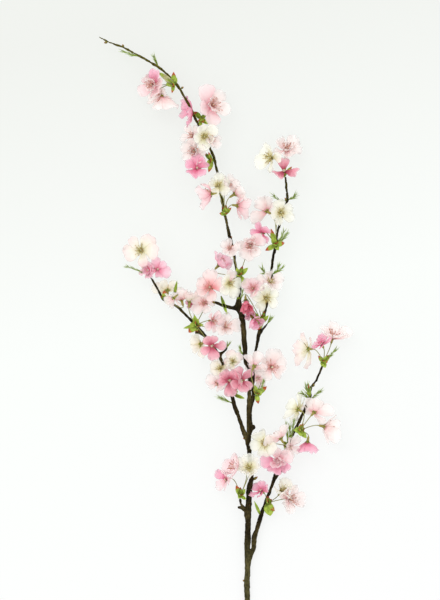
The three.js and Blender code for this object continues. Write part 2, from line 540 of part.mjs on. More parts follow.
const MATERIALS = {
  bark: new THREE.MeshStandardMaterial({ color: 0x3c3420, roughness: 0.85, metalness: 0 }),
  green: new THREE.MeshStandardMaterial({ color: 0x9cae3f, roughness: 0.6, metalness: 0 }),
  pale: new THREE.MeshStandardMaterial({ color: 0xfbe3e3, roughness: 0.65, metalness: 0 }),
  white: new THREE.MeshStandardMaterial({ color: 0xf7f4e6, roughness: 0.65, metalness: 0 }),
  deep: new THREE.MeshStandardMaterial({ color: 0xe898b8, roughness: 0.65, metalness: 0 }),
};

const sprig = new THREE.Group();
const groups = { bark: sprig, green: new THREE.Group() };
const blossoms = new THREE.Group();
sprig.add(groups.green, blossoms);

for (const { name, shape, colour } of fitted) {
  const { vertProperties, triVerts } = shape.getMesh();
  const geometry = new THREE.BufferGeometry();
  geometry.setAttribute('position', new THREE.BufferAttribute(Float32Array.from(vertProperties), 3));
  geometry.setIndex(Array.from(triVerts));
  geometry.computeBoundingBox();
  const middle = geometry.boundingBox.getCenter(new THREE.Vector3());
  geometry.translate(-middle.x, -middle.y, -middle.z);
  geometry.computeVertexNormals();
  const mesh = new THREE.Mesh(geometry, MATERIALS[colour]);
  mesh.name = name;
  mesh.position.copy(middle);
  (groups[colour] ?? blossoms).add(mesh);
}

export default sprig;
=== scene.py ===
# A cut sprig of cherry in blossom, lying on a pale surface.
# +Y runs from the cut end to the tip, metres, +Z up.
import math
import random

import bmesh
import bpy
from mathutils import Matrix, Vector


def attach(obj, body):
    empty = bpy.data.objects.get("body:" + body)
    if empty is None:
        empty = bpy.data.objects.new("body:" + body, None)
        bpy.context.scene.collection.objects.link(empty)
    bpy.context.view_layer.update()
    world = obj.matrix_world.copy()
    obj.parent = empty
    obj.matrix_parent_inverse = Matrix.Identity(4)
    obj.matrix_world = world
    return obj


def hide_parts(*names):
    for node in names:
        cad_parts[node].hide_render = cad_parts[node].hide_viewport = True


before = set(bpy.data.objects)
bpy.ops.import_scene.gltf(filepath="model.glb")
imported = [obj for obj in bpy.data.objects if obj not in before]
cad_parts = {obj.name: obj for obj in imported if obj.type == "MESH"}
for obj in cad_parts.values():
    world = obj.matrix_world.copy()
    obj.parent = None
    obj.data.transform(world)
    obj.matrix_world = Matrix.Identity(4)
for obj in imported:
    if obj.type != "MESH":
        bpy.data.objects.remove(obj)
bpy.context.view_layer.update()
mm = 0.001
dice = random.Random(11)


camera = {"over": (-0.0045, 0.042), "height": 3.028, "lens": 120.0, "sensor": 36.0}
floor = {"size": 6.0, "drop": 0.0004, "glow": 0.785, "albedo": 0.15, "roughness": 0.9,
         "from": -0.45, "to": 0.5, "slant": -0.25,  # its glow has a painted falloff of light along Y, slanted by X
         "paintedFalloff": ((0.0, (255, 255, 255)), (0.5, (251, 254, 251)), (1.0, (237, 239, 234)))}
light = {"sky": 1.3, "skyColour": (252, 255, 253), "key": 22.0, "keySize": 2.0,
         "keyAt": (-1.1, 1.3, 2.6)}


def deselect():
    bpy.ops.object.select_all(action="DESELECT")


def tint(colour):
    # for a socket, from a grey level or from a colour as seen on a screen, 0 to 255
    if isinstance(colour, (int, float)):
        return (colour, colour, colour, 1.0)
    seen = [value / 255 for value in colour]
    return tuple(v / 12.92 if v <= 0.04045 else ((v + 0.055) / 1.055) ** 2.4 for v in seen) + (1.0,)


def newSurface(name, roughness):
    surface = bpy.data.materials.new(name)
    surface.use_nodes = True
    tree = surface.node_tree
    shader = tree.nodes["Principled BSDF"]
    shader.inputs["Roughness"].default_value = roughness
    return surface, tree, shader


def feed(tree, node, inputs):
    # each input gets what another node gives, or a plain number or colour
    for name, value in inputs.items():
        socket = node.inputs[name]
        if isinstance(value, bpy.types.NodeSocket):
            tree.links.new(value, socket)
        else:
            socket.default_value = tint(value) if socket.type == "RGBA" else value


def addNode(tree, kind, inputs, **settings):
    node = tree.nodes.new(kind)
    for name, value in settings.items():
        setattr(node, name, value)
    feed(tree, node, inputs)
    return node


def addPlace(tree):
    return tree.nodes.new("ShaderNodeTexCoord").outputs


def addAxes(tree, source):
    return addNode(tree, "ShaderNodeSeparateXYZ", {"Vector": source}).outputs


def addMath(tree, operation, *values):
    return addNode(tree, "ShaderNodeMath", dict(enumerate(values)), operation=operation).outputs[0]


def addRange(tree, source, start, end, most=1.0):
    # 0 up to the start, rising to the most at the end
    reach = addNode(tree, "ShaderNodeMapRange", {
        "Value": source, "From Min": start, "From Max": end, "To Max": most})
    return reach.outputs["Result"]


def addRamp(tree, source, stops):
    # colours or grey levels along a value
    band = addNode(tree, "ShaderNodeValToRGB", {"Fac": source})
    marks = band.color_ramp.elements
    while len(marks) < len(stops):
        marks.new(0.5)
    for mark, (position, colour) in zip(marks, stops):
        mark.position = position
        mark.color = tint(colour)
    return band.outputs["Color"]


def addMix(tree, factor, first, second, blend="MIX"):
    mix = addNode(tree, "ShaderNodeMix", {}, data_type="RGBA", blend_type=blend)
    feed(tree, mix, {0: factor, 6: first, 7: second})
    return mix.outputs[2]


def addNoise(tree, source, scale, detail=3.0, stretch=(1, 1, 1)):
    turned = addNode(tree, "ShaderNodeMapping", {"Vector": source, "Scale": stretch})
    noise = addNode(tree, "ShaderNodeTexNoise", {
        "Vector": turned.outputs["Vector"], "Scale": scale, "Detail": detail})
    return noise.outputs["Fac"]


def addBump(tree, shader, height, strength, distance):
    bump = addNode(tree, "ShaderNodeBump", {
        "Height": height, "Strength": strength, "Distance": distance})
    feed(tree, shader, {"Normal": bump.outputs["Normal"]})
    return bump.outputs["Normal"]


def mixShaders(tree, share, first, second):
    return addNode(tree, "ShaderNodeMixShader", {"Fac": share, 1: first, 2: second}).outputs[0]


def makeStage():
    deselect()
    bpy.ops.object.camera_add(location=(*camera["over"], camera["height"]), rotation=(0, 0, 0))
    eye = bpy.context.object
    eye.data.lens = camera["lens"]
    eye.data.sensor_width = camera["sensor"]
    bpy.context.scene.camera = eye
    bpy.context.scene.view_settings.view_transform = "Standard"

    bpy.ops.mesh.primitive_grid_add(x_subdivisions=8, y_subdivisions=8, size=floor["size"],
                                    location=(0, 0, -floor["drop"]))
    ground = bpy.context.object
    ground.name = "floor"
    surface, tree, shader = newSurface("paleFloor", floor["roughness"])
    axes = addAxes(tree, addPlace(tree)["Object"])
    slanted = addMath(tree, "MULTIPLY_ADD", axes["X"], floor["slant"], axes["Y"])
    # painted falloff of light: the glow is brightest at the cut end and darker towards the far end
    reach = addRange(tree, slanted, floor["from"], floor["to"])
    feed(tree, shader, {"Emission Color": addRamp(tree, reach, floor["paintedFalloff"]),
                        "Emission Strength": floor["glow"], "Base Color": floor["albedo"],
                        "Specular IOR Level": 0.0})
    ground.data.materials.append(surface)

    world = bpy.data.worlds.new("softRoom")
    world.use_nodes = True
    feed(world.node_tree, world.node_tree.nodes["Background"],
         {"Color": light["skyColour"], "Strength": light["sky"]})
    bpy.context.scene.world = world
    bpy.ops.object.light_add(type="AREA", location=light["keyAt"])
    lamp = bpy.context.object
    lamp.data.energy = light["key"]
    lamp.data.size = light["keySize"]
    towards = Vector((0, 0, 0)) - Vector(light["keyAt"])
    lamp.rotation_euler = towards.to_track_quat("-Z", "Y").to_euler()


makeStage()
print("stage ready")


layout = {"step": 1.5, "column": 223, "row": 328}  # mm in a grid step, and the origin's place
stemRise = {"endRow": 620, "endHeight": 3.6, "rise": 24.4, "rows": 250, "nod": 3}
free = 1.0  # mm above the surface; what comes lower is pressed down on it


def place(column, row, height):
    return Vector(((column - layout["column"]) * layout["step"],
                   (layout["row"] - row) * layout["step"], height)) * mm


def wobble(seed):
    # a repeatable number from -1 to 1
    wave = math.sin(seed * 12.9898) * 43758.5453
    return 2 * (wave - math.floor(wave)) - 1


def smooth(value):
    value = min(max(value, 0), 1)
    return value * value * (3 - 2 * value)


def stemHeight(row):
    climbed = smooth((stemRise["endRow"] - row) / stemRise["rows"])
    nodded = smooth((layout["row"] - row) / layout["row"])
    return stemRise["endHeight"] + stemRise["rise"] * climbed - stemRise["nod"] * nodded


models = []  # what is modelled once and copied, removed at the end


def only(piece):
    deselect()
    piece.select_set(True)
    bpy.context.view_layer.objects.active = piece


def startEdit(piece):
    only(piece)
    bpy.ops.object.mode_set(mode="EDIT")
    bpy.ops.mesh.select_mode(type="VERT")
    bpy.ops.mesh.select_all(action="DESELECT")


def endEdit():
    bpy.ops.object.mode_set(mode="OBJECT")


def pick(piece, test):
    # selects the vertices that pass the test, in edit mode
    cloud = bmesh.from_edit_mesh(piece.data)
    for vertex in cloud.verts:
        vertex.select_set(bool(test(vertex)))
    cloud.select_flush_mode()
    bmesh.update_edit_mesh(piece.data)


def pickAll():
    bpy.ops.mesh.select_all(action="SELECT")


def scaleBy(value):
    bpy.ops.transform.resize(value=value, center_override=(0, 0, 0))


def moveBy(value, soft=0.0):
    if soft:
        bpy.ops.transform.translate(value=value, use_proportional_edit=True,
                                    proportional_edit_falloff="SMOOTH", proportional_size=soft)
    else:
        bpy.ops.transform.translate(value=value)


def extrudeBy(value):
    bpy.ops.mesh.extrude_region_move(TRANSFORM_OT_translate={"value": value})


def turnTo(start, way):
    return start.rotation_difference(way).to_matrix().to_4x4()


def applyModifiers(piece):
    only(piece)
    for modifier in list(piece.modifiers):
        bpy.ops.object.modifier_apply(modifier=modifier.name)


def roughen(piece, size, strength):
    # small waves from a cloud texture, in the piece's own units
    texture = bpy.data.textures.new(piece.name + "Waves", "CLOUDS")
    texture.noise_scale = size
    waves = piece.modifiers.new("waves", "DISPLACE")
    waves.texture = texture
    waves.strength = strength
    waves.mid_level = 0.5
    waves.texture_coords = "LOCAL"


def thicken(piece, thickness):
    wall = piece.modifiers.new("wall", "SOLIDIFY")
    wall.thickness = thickness
    wall.offset = 0


def finishModel(piece, name, surfaces):
    applyModifiers(piece)
    bpy.ops.object.shade_smooth()
    piece.name = name
    for surface in surfaces:
        piece.data.materials.append(surface)
    models.append(piece)
    return piece


def copyOf(model, matrix, surfaces=()):
    piece = model.copy()
    piece.data = model.data.copy()
    piece.data.transform(matrix)
    for index, surface in enumerate(surfaces):
        piece.data.materials[index] = surface
    bpy.context.collection.objects.link(piece)
    return piece


def joinAll(parts, name):
    deselect()
    for part in parts:
        part.select_set(True)
    bpy.context.view_layer.objects.active = parts[0]
    bpy.ops.object.join()
    whole = bpy.context.object
    whole.name = name
    whole.data.name = name
    return whole


def settle(piece, slot, *nodes):
    for vertex in piece.data.vertices:
        height = vertex.co.z / mm
        if height < free:
            vertex.co.z = free * math.exp(height / free - 1) * mm
    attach(piece, "root")
    if nodes:
        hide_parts(*nodes)


def bladeGrid(rows, columns):
    # a sheet one long along X and one wide, its base at the origin; UV x runs to its tip
    deselect()
    bpy.ops.mesh.primitive_grid_add(x_subdivisions=rows, y_subdivisions=columns, size=1)
    piece = bpy.context.object
    startEdit(piece)
    pickAll()
    moveBy((0.5, 0, 0))
    return piece


def shapeBlade(piece, rows, widths, lengths):
    # half widths by row from base to tip, then lengths by column from side to side
    for row, half in enumerate(widths):
        pick(piece, lambda vertex: vertex.index % (rows + 1) == row)
        scaleBy((1, half * 2, 1))
    for column, length in enumerate(lengths):
        pick(piece, lambda vertex: vertex.index // (rows + 1) == column)
        scaleBy((length, 1, 1))


def pickCell(piece, rows, cells):
    # cells are (row, column) places on a blade
    wanted = {column * (rows + 1) + row for row, column in cells}
    pick(piece, lambda vertex: vertex.index in wanted)


def pullBlade(piece, rows, pulls):
    # soft pulls, each by its place, move and reach
    for cell, move, reach in pulls:
        pickCell(piece, rows, [cell])
        moveBy(move, reach)


bark = {"dark": (22, 17, 7), "brown": (42, 34, 16), "light": (80, 70, 40),
        "roughness": 0.9, "shine": 0.08, "speckle": 0.8, "bump": (0.8, 0.0009),
        # scale, detail and stretch of its noises
        "broad": (90, 4.0, (1, 0.3, 1)), "fine": (420, 5.0, (1, 0.45, 1)),
        "rings": (260, 2.0, (0.5, 2.6, 0.5)),
        # greener near the tips and paler at the cut end: colour, speckle, start and end on Y, share
        "ages": (((84, 78, 22), 0.7, 0.12, 0.43, 0.85), ((84, 79, 48), 0.8, -0.31, -0.36, 0.6))}
cutWood = {"heart": (196, 168, 120), "rings": (150, 122, 80), "roughness": 0.7,
           "grain": (900, 3.0, (1, 0.1, 1)), "bump": (0.4, 0.0003)}


def makeBark():
    surface, tree, shader = newSurface("bark", bark["roughness"])
    at = addPlace(tree)["Object"]
    broad = addNoise(tree, at, *bark["broad"])
    fine = addNoise(tree, at, *bark["fine"])
    rings = addNoise(tree, at, *bark["rings"])
    colour = addRamp(tree, broad, [
        (0.34, bark["dark"]), (0.52, bark["brown"]), (0.74, bark["light"])])
    speck = addRamp(tree, fine, [(0.38, 0.32), (0.62, 1.4)])
    colour = addMix(tree, bark["speckle"], colour, speck, "MULTIPLY")
    lenticels = addRamp(tree, rings, [(0.62, 0.0), (0.7, 0.6)])
    colour = addMix(tree, lenticels, colour, bark["light"])
    axes = addAxes(tree, at)
    for shade, speckle, start, end, share in bark["ages"]:
        weathered = addMix(tree, speckle, shade, speck, "MULTIPLY")
        colour = addMix(tree, addRange(tree, axes["Y"], start, end, share), colour, weathered)
    addBump(tree, shader, addMix(tree, 0.5, broad, fine), *bark["bump"])
    feed(tree, shader, {"Base Color": colour, "Specular IOR Level": bark["shine"]})
    return surface


def makeCutWood():
    surface, tree, shader = newSurface("cutWood", cutWood["roughness"])
    grain = addNoise(tree, addPlace(tree)["Object"], *cutWood["grain"])
    colour = addRamp(tree, grain, [(0.35, cutWood["rings"]), (0.65, cutWood["heart"])])
    feed(tree, shader, {"Base Color": colour})
    addBump(tree, shader, grain, *cutWood["bump"])
    return surface


# column, row and thickness in grid steps
stem = [
    (247.5, 626, 5.1), (247.5, 600, 5), (247, 587, 6), (247.7, 575, 5.1), (248, 558, 6.3),
    (247.7, 545, 6.3), (248.2, 524, 5.4), (248.3, 513, 7.2), (248.9, 504, 5.3), (249.4, 488, 5.9),
    (252, 479, 4.2), (251, 471, 3.9), (249.2, 453, 4), (249.4, 443, 5.8), (249.4, 426, 4.9),
    (249, 406, 5.4), (249.6, 389.6, 3.5), (249.6, 374, 3), (250.6, 370, 3.4), (245.8, 363, 4),
    (244.4, 343, 5), (243.5, 330, 5.2), (241.9, 316, 5.8), (239.2, 306.4, 5.8), (238.6, 297, 3.4),
    (240, 289, 2.8), (236.8, 273, 2.4), (233.5, 252, 2.6), (230.3, 239.2, 3.4), (226.8, 223, 2.4),
    (223.1, 207, 2.5), (218.5, 176.3, 2.3), (214, 157.5, 2.6), (204, 135, 2.3), (195, 117.7, 2.5),
    (188.5, 104, 2.4), (180.5, 90, 2.3), (175.5, 82.8, 2.7), (164.2, 71.5, 1.9), (158.5, 66.9, 2.4),
    (149, 61.3, 1.8), (141.2, 56.5, 2.3), (135.4, 53.7, 1.7), (123, 46.9, 1.7), (110, 42.4, 1.4),
    (98.8, 36.6, 0.8),
]

# heights at both ends, then column, row and thickness
branches = [
    (7.3, 22, [
        (249.5, 561, 5), (253.8, 551, 4.6), (254.4, 538, 5), (257.5, 530, 3.9), (260.7, 519, 4.7),
        (263.6, 509, 3), (270.8, 490.2, 2.8), (276, 475.8, 4), (278.5, 467, 3), (284, 455, 3),
        (288.5, 447.3, 3.2), (290.5, 438.6, 3.6), (294.6, 431.9, 3.2), (302.8, 415, 2.5),
        (310, 399, 3.2), (311, 388, 2.3), (316.9, 380, 2), (323.2, 364.5, 2.1)]),
    (13.3, 18, [(276, 475.8, 2.4), (281.9, 471.9, 1.8), (284.9, 467.8, 2), (286.5, 466, 1)]),
    (23, 24, [
        (248.3, 443, 4.6), (243.3, 431.2, 4.3), (239.8, 420.2, 3.6), (234.6, 405.8, 4.2),
        (231.7, 394.8, 3.2), (224.6, 367, 3.8), (219, 355.2, 3), (213.5, 347.5, 2.6),
        (201.6, 331.6, 3.8), (193.1, 322.3, 2.5), (177.5, 306.7, 2.3), (170, 303, 2.3),
        (162.6, 298.6, 2.4), (155.4, 285, 2.1), (149.9, 276.4, 1.6)]),
    (23.7, 24, [(201, 333, 2.4), (194.8, 332.7, 1.6)]),
    (23.4, 25.2, [(222.5, 358, 2.4), (226, 350, 2), (227.2, 346, 1.2)]),
    (26.5, 28, [
        (250.5, 407, 3), (253.4, 399.4, 3.2), (252.9, 390, 3), (253.4, 372, 2.6), (254.5, 356, 2.4),
        (257.7, 340.8, 3), (259.2, 332, 4), (263, 320, 2.8), (271.8, 284, 2.4),
        (272.2, 277.5, 2.8), (271, 273.5, 2.4), (273.6, 254, 2.6), (275.6, 248.5, 3.4),
        (277.3, 232.1, 2), (287.6, 200, 2.3), (286.2, 186, 2.1), (285.3, 176.6, 1.7)]),
    (27.3, 27.8, [(260.5, 332, 2.4), (264.2, 327.7, 1.8), (267.1, 324.2, 1.5)]),
    (28, 31, [
        (239.5, 307.5, 4.2), (232.9, 308.1, 3.6), (228.3, 306.9, 3.2), (222.5, 305.2, 2.7),
        (217.3, 303.2, 2.4), (213.6, 301.8, 2.2)]),
    (13, 17, [(247, 513, 3.5), (244.2, 509.8, 3.4), (240.8, 504.6, 2.3), (240.2, 499.4, 2.2)]),
    (14, 16, [(243.5, 510, 3), (237.3, 507.5, 2.6)]),
    (24, 26, [(250, 430, 4.4), (252.8, 428.2, 4.6), (255.4, 425.8, 4.8)]),
]

cutEndY = place(0, stemRise["endRow"], 0).y
woodShape = {"rest": 0.1, "fullness": 1.14, "rounding": 2,
             # height in mm and spacing in m of its waves
             "lumps": 2.1, "lumpSize": 0.006, "ridges": 0.9, "ridgeSize": 0.0028}


def makeWood():
    deselect()
    bpy.ops.mesh.primitive_plane_add(size=mm)
    wood = bpy.context.object
    startEdit(wood)
    pickAll()
    bpy.ops.mesh.merge(type="CENTER")
    lines = [[(place(column, row, stemHeight(row)), thick) for column, row, thick in stem]]
    for low, high, points in branches:
        last = len(points) - 1
        lines.append([(place(column, row, low + (high - low) * index / last), thick)
                      for index, (column, row, thick) in enumerate(points)])
    grown = []  # place and radius of every vertex, in the order that they are made
    for line in lines:
        points = [(at, thick * layout["step"] / 2 * mm) for at, thick in line]
        if grown:  # a branch starts at the nearest vertex
            start = points[0][0]
            joint = min(range(len(grown)), key=lambda index: (grown[index][0] - start).length)
            pick(wood, lambda vertex: vertex.index == joint)
            here = grown[joint][0]
        else:
            pickAll()
            here = points[0][0]
            moveBy(here)
            grown.append(points[0])
        for at, radius in points[1:]:
            bpy.ops.mesh.extrude_vertices_move(TRANSFORM_OT_translate={"value": at - here})
            grown.append((at, radius))
            here = at
    endEdit()
    wood.modifiers.new("skin", "SKIN")
    rounding = wood.modifiers.new("rounding", "SUBSURF")
    rounding.levels = rounding.render_levels = woodShape["rounding"]
    for corner, (_, radius) in zip(wood.data.skin_vertices[0].data, grown):
        corner.radius = (radius * woodShape["fullness"], radius * woodShape["fullness"])
    wood.data.skin_vertices[0].data[0].use_root = True
    wood.name = "twigs"
    roughen(wood, woodShape["lumpSize"], woodShape["lumps"] * mm)
    roughen(wood, woodShape["ridgeSize"], woodShape["ridges"] * mm)
    applyModifiers(wood)
    bpy.ops.object.shade_smooth()
    # cut flat at its end, and where it lies on the surface
    startEdit(wood)
    for at, way in (((0, cutEndY, 0), (0, -1, 0)), ((0, 0, woodShape["rest"] * mm), (0, 0, -1))):
        pickAll()
        bpy.ops.mesh.bisect(plane_co=at, plane_no=way, use_fill=True, clear_outer=True)
    endEdit()
    wood.data.materials.append(makeBark())
    wood.data.materials.append(makeCutWood())
    for face in wood.data.polygons:
        if face.normal.y < -0.99 and face.center.y < cutEndY + mm:
            face.material_index = 1
            face.use_smooth = False
    return wood


# kind, clearness at the edge, then colours from the base of a petal to its edge
petalTones = {
    "pale": ("pale", 0.46, (244, 170, 176), (253, 226, 227), (254, 244, 242), (255, 251, 250)),
    "faint": ("pale", 0.5, (248, 200, 202), (253, 236, 235), (255, 245, 243), (255, 252, 251)),
    "blush": ("pale", 0.4, (238, 132, 152), (250, 203, 211), (254, 231, 234), (255, 246, 246)),
    "salmon": ("pale", 0.36, (236, 120, 130), (248, 187, 189), (254, 236, 235), (255, 249, 248)),
    "creamPink": ("pale", 0.46, (218, 212, 150), (248, 244, 224), (255, 248, 243), (254, 233, 234)),
    "cream": ("pale", 0.46, (224, 212, 150), (248, 241, 214), (255, 250, 241), (255, 252, 248)),
    "white": ("white", 0.4, (216, 208, 134), (243, 238, 208), (254, 253, 246), (255, 254, 250)),
    "sheer": ("white", 0.62, (216, 208, 134), (243, 238, 208), (254, 253, 246), (255, 254, 250)),
    "deep": ("deep", 0.3, (212, 88, 122), (240, 146, 179), (252, 198, 218), (255, 224, 236)),
    "rosy": ("deep", 0.34, (228, 116, 144), (246, 175, 197), (253, 214, 227), (255, 232, 240)),
    "mauve": ("deep", 0.28, (184, 64, 88), (216, 110, 136), (248, 188, 203), (255, 226, 232)),
    "rose": ("deep", 0.1, (190, 34, 66), (220, 76, 108), (238, 128, 154), (248, 180, 198)),
}
petalKinds = {"pale": ("petal_pale", 0.42), "white": ("petal_white", 0.36),
              "deep": ("petal_deep", 0.34)}  # slot, and how far the petals lift when it opens
petalSurface = {"roughness": 0.55, "translucence": 0.5, "sheen": 0.15, "shine": 0.25,
                "stops": (0.0, 0.22, 0.5, 0.95), "cloud": 110, "drift": 0.3,
                "veins": 0.4, "fan": (0.7, 9, 1), "grain": 700, "bump": (0.5, 0.0003),
                "thin": 0.7, "rim": ((0.8, 0.0), (0.91, 0.45), (0.965, 1.0))}


def makePetalSurface(name, tone):
    _, clearness, *colours = tone
    surface, tree, shader = newSurface("petal_" + name, petalSurface["roughness"])
    where = addPlace(tree)
    axes = addAxes(tree, where["UV"])
    cloud = addNoise(tree, where["Object"], petalSurface["cloud"])
    drift = addMath(tree, "MULTIPLY_ADD", cloud, petalSurface["drift"], -petalSurface["drift"] / 2)
    along = addMath(tree, "ADD", axes["X"], drift)
    colour = addRamp(tree, along, list(zip(petalSurface["stops"], colours)))
    # veins fan out from the base, as lines along the petal
    across = addNode(tree, "ShaderNodeMapping",
                     {"Vector": where["UV"], "Scale": petalSurface["fan"]}).outputs["Vector"]
    lines = addNode(tree, "ShaderNodeTexWave", {
        "Vector": across, "Scale": 1.1, "Distortion": 3.2, "Detail": 2.0},
        bands_direction="Y").outputs["Fac"]
    veins = addMath(tree, "MULTIPLY", addRamp(tree, lines, [(0.0, 1.0), (0.35, 0.0)]),
                    petalSurface["veins"])
    colour = addMix(tree, veins, colour, addMix(tree, 1.0, colour, colours[1], "MULTIPLY"))
    # how near the outline a place is, for the thin clear edge
    off = addMath(tree, "ABSOLUTE", addMath(tree, "MULTIPLY_ADD", axes["Y"], 2.0, -1.0))
    rim = addRamp(tree, addMath(tree, "MAXIMUM", axes["X"], off), petalSurface["rim"])
    thinness = addRamp(tree, along, [
        (0.1, 0.03), (0.4, clearness * petalSurface["thin"]), (0.95, clearness)])
    thinness = addMix(tree, 1.0, thinness, rim, "LIGHTEN")
    feed(tree, shader, {"Base Color": colour, "Sheen Weight": petalSurface["sheen"],
                        "Specular IOR Level": petalSurface["shine"]})
    grain = addNoise(tree, where["Object"], petalSurface["grain"])
    normal = addBump(tree, shader, addMix(tree, 0.4, lines, grain), *petalSurface["bump"])
    through = addNode(tree, "ShaderNodeBsdfTranslucent", {"Color": colour, "Normal": normal})
    lit = mixShaders(tree, petalSurface["translucence"], shader.outputs[0], through.outputs[0])
    clear = addNode(tree, "ShaderNodeBsdfTransparent", {})
    feed(tree, tree.nodes["Material Output"],
         {"Surface": mixShaders(tree, thinness, lit, clear.outputs[0])})
    return surface


petalGrid = {"rows": 6, "columns": 6, "wall": 0.007, "crinkle": 0.055}
# half widths from base to tip, lengths from side to middle, then soft pulls: place, move, reach
petalForms = {
    "open": {"widths": (0.05, 0.12, 0.23, 0.34, 0.4, 0.38, 0.21),
             "lengths": (0.9, 0.975, 0.998, 0.965), "crinkle": 0.3, "pulls": (
                 ((3, 3), (0, 0, -0.07), 0.42), ((4, 0), (0, 0, 0.1), 0.35),
                 ((4, 6), (0, 0, 0.08), 0.35), ((6, 2), (0, 0, 0.07), 0.2),
                 ((6, 5), (-0.01, 0, -0.06), 0.2))},
    "round": {"widths": (0.05, 0.145, 0.29, 0.41, 0.46, 0.42, 0.25),
              "lengths": (0.9, 0.975, 1.0, 0.99), "crinkle": 0.34, "pulls": (
                  ((3, 3), (0, 0, -0.1), 0.4), ((5, 0), (0, 0, 0.12), 0.3),
                  ((5, 6), (0, 0, 0.14), 0.3), ((6, 3), (-0.05, 0, 0.08), 0.25),
                  ((5, 1), (0, 0, -0.05), 0.17))},
    "ruffled": {"widths": (0.05, 0.125, 0.25, 0.37, 0.45, 0.435, 0.28),
                "lengths": (0.88, 0.95, 1.0, 0.93), "crinkle": 0.24, "pulls": (
                    ((3, 3), (0, 0, -0.06), 0.35), ((4, 0), (0, 0, 0.13), 0.22),
                    ((5, 1), (0, 0, -0.11), 0.17), ((6, 2), (0, 0, 0.13), 0.17),
                    ((6, 3), (0, 0, -0.09), 0.14), ((6, 4), (0, 0, 0.12), 0.17),
                    ((5, 5), (0, 0, -0.09), 0.17), ((4, 6), (0, 0, 0.15), 0.22))},
    "flared": {"widths": (0.06, 0.14, 0.25, 0.36, 0.42, 0.4, 0.23),
               "lengths": (0.9, 0.98, 0.998, 0.965), "crinkle": 0.3, "pulls": (
                   ((3, 3), (0, 0, -0.05), 0.4), ((4, 0), (0, 0, 0.1), 0.3),
                   ((4, 6), (0, 0, 0.1), 0.3), ((6, 3), (0.02, 0, -0.18), 0.5),
                   ((6, 1), (0, 0, 0.1), 0.18), ((6, 5), (0, 0, -0.09), 0.18))},
    "folded": {"widths": (0.05, 0.115, 0.21, 0.31, 0.38, 0.34, 0.17),
               "lengths": (0.86, 0.97, 1.01, 0.975), "crinkle": 0.2, "pulls": (
                   ((3, 3), (0, 0, -0.12), 0.3), ((5, 2), (0, 0, -0.06), 0.2),
                   ((4, 0), (0, 0.04, 0.15), 0.3), ((3, 6), (0, -0.06, 0.2), 0.3),
                   ((6, 4), (-0.03, 0, 0.1), 0.18))},
    "curled": {"widths": (0.05, 0.135, 0.26, 0.37, 0.43, 0.39, 0.21),
               "lengths": (0.9, 0.98, 0.998, 0.945), "crinkle": 0.26, "pulls": (
                   ((3, 3), (0, 0, -0.14), 0.45), ((6, 3), (-0.16, 0, 0.22), 0.45),
                   ((6, 1), (-0.04, 0, 0.1), 0.2), ((6, 5), (0, 0, -0.06), 0.18),
                   ((4, 0), (0, 0.03, 0.12), 0.3))},
}
# a bloom's petals are of its own form, with a few of the others
formMix = {
    "open": ("open", "open", "ruffled", "curled", "folded"),
    "round": ("round", "round", "open", "curled", "ruffled"),
    "ruffled": ("ruffled", "ruffled", "round", "folded", "curled"),
    "flared": ("flared", "flared", "ruffled", "open", "flared"),
    "folded": ("folded", "folded", "open", "curled", "folded"),
}


def makePetal(name, form):
    rows, columns = petalGrid["rows"], petalGrid["columns"]
    petal = bladeGrid(rows, columns)
    half = form["lengths"]
    shapeBlade(petal, rows, form["widths"], half + half[-2::-1])
    pullBlade(petal, rows, form["pulls"])
    endEdit()
    petal.name = name
    roughen(petal, form["crinkle"], petalGrid["crinkle"])
    thicken(petal, petalGrid["wall"])
    finishModel(petal, name, [petalSurfaces["pale"]])
    for face in list(petal.data.polygons)[2 * rows * columns:]:
        face.use_smooth = False  # the thin rim
    return petal


petalSurfaces = {name: makePetalSurface(name, tone) for name, tone in petalTones.items()}
petals = {name: makePetal("petal_" + name, form) for name, form in petalForms.items()}
print("petals ready")


# a stamen is one long; then how a set of them spreads round the pistil
stamen = {"wire": 0.03, "anther": 0.062, "steps": 3, "sway": 0.05, "thin": 0.45,
          "foot": 0.02, "step": 2.4, "stepBy": 0.2, "leanStep": 0.618, "leanBy": 0.08}
pistil = {"foot": 0.06, "top": 0.022, "length": 0.3, "knob": 0.05, "size": 1.3,
          "colour": (240, 238, 206)}
stamenSets = {  # count, lean from and to, length from and to, in shares of a petal
    "tuft": (24, 0.2, 1.0, 0.3, 0.54),
    "long": (22, 0.15, 0.85, 0.44, 0.7),
    "short": (12, 0.2, 0.8, 0.12, 0.18),
}
threadTones = {  # thread and anther
    "brown": ((235, 178, 162), (192, 122, 96)), "golden": ((208, 192, 118), (166, 126, 62)),
    "pink": ((250, 232, 226), (244, 232, 190))}
plainSurface = {"scale": 600, "bump": (0.3, 0.0002)}


def makePlainSurface(name, colour, roughness, spots=0.3):
    # one colour with darker and lighter spots
    surface, tree, shader = newSurface(name, roughness)
    cloud = addNoise(tree, addPlace(tree)["Object"], plainSurface["scale"])
    shade = addRamp(tree, cloud, [(0.3, 1 - spots), (0.7, 1.0)])
    feed(tree, shader, {"Base Color": addMix(tree, 1.0, colour, shade, "MULTIPLY")})
    addBump(tree, shader, cloud, *plainSurface["bump"])
    return surface


threads = {name: (makePlainSurface(name + "Thread", thread, 0.6),
                  makePlainSurface(name + "Anther", anther, 0.7, 0.45))
           for name, (thread, anther) in threadTones.items()}


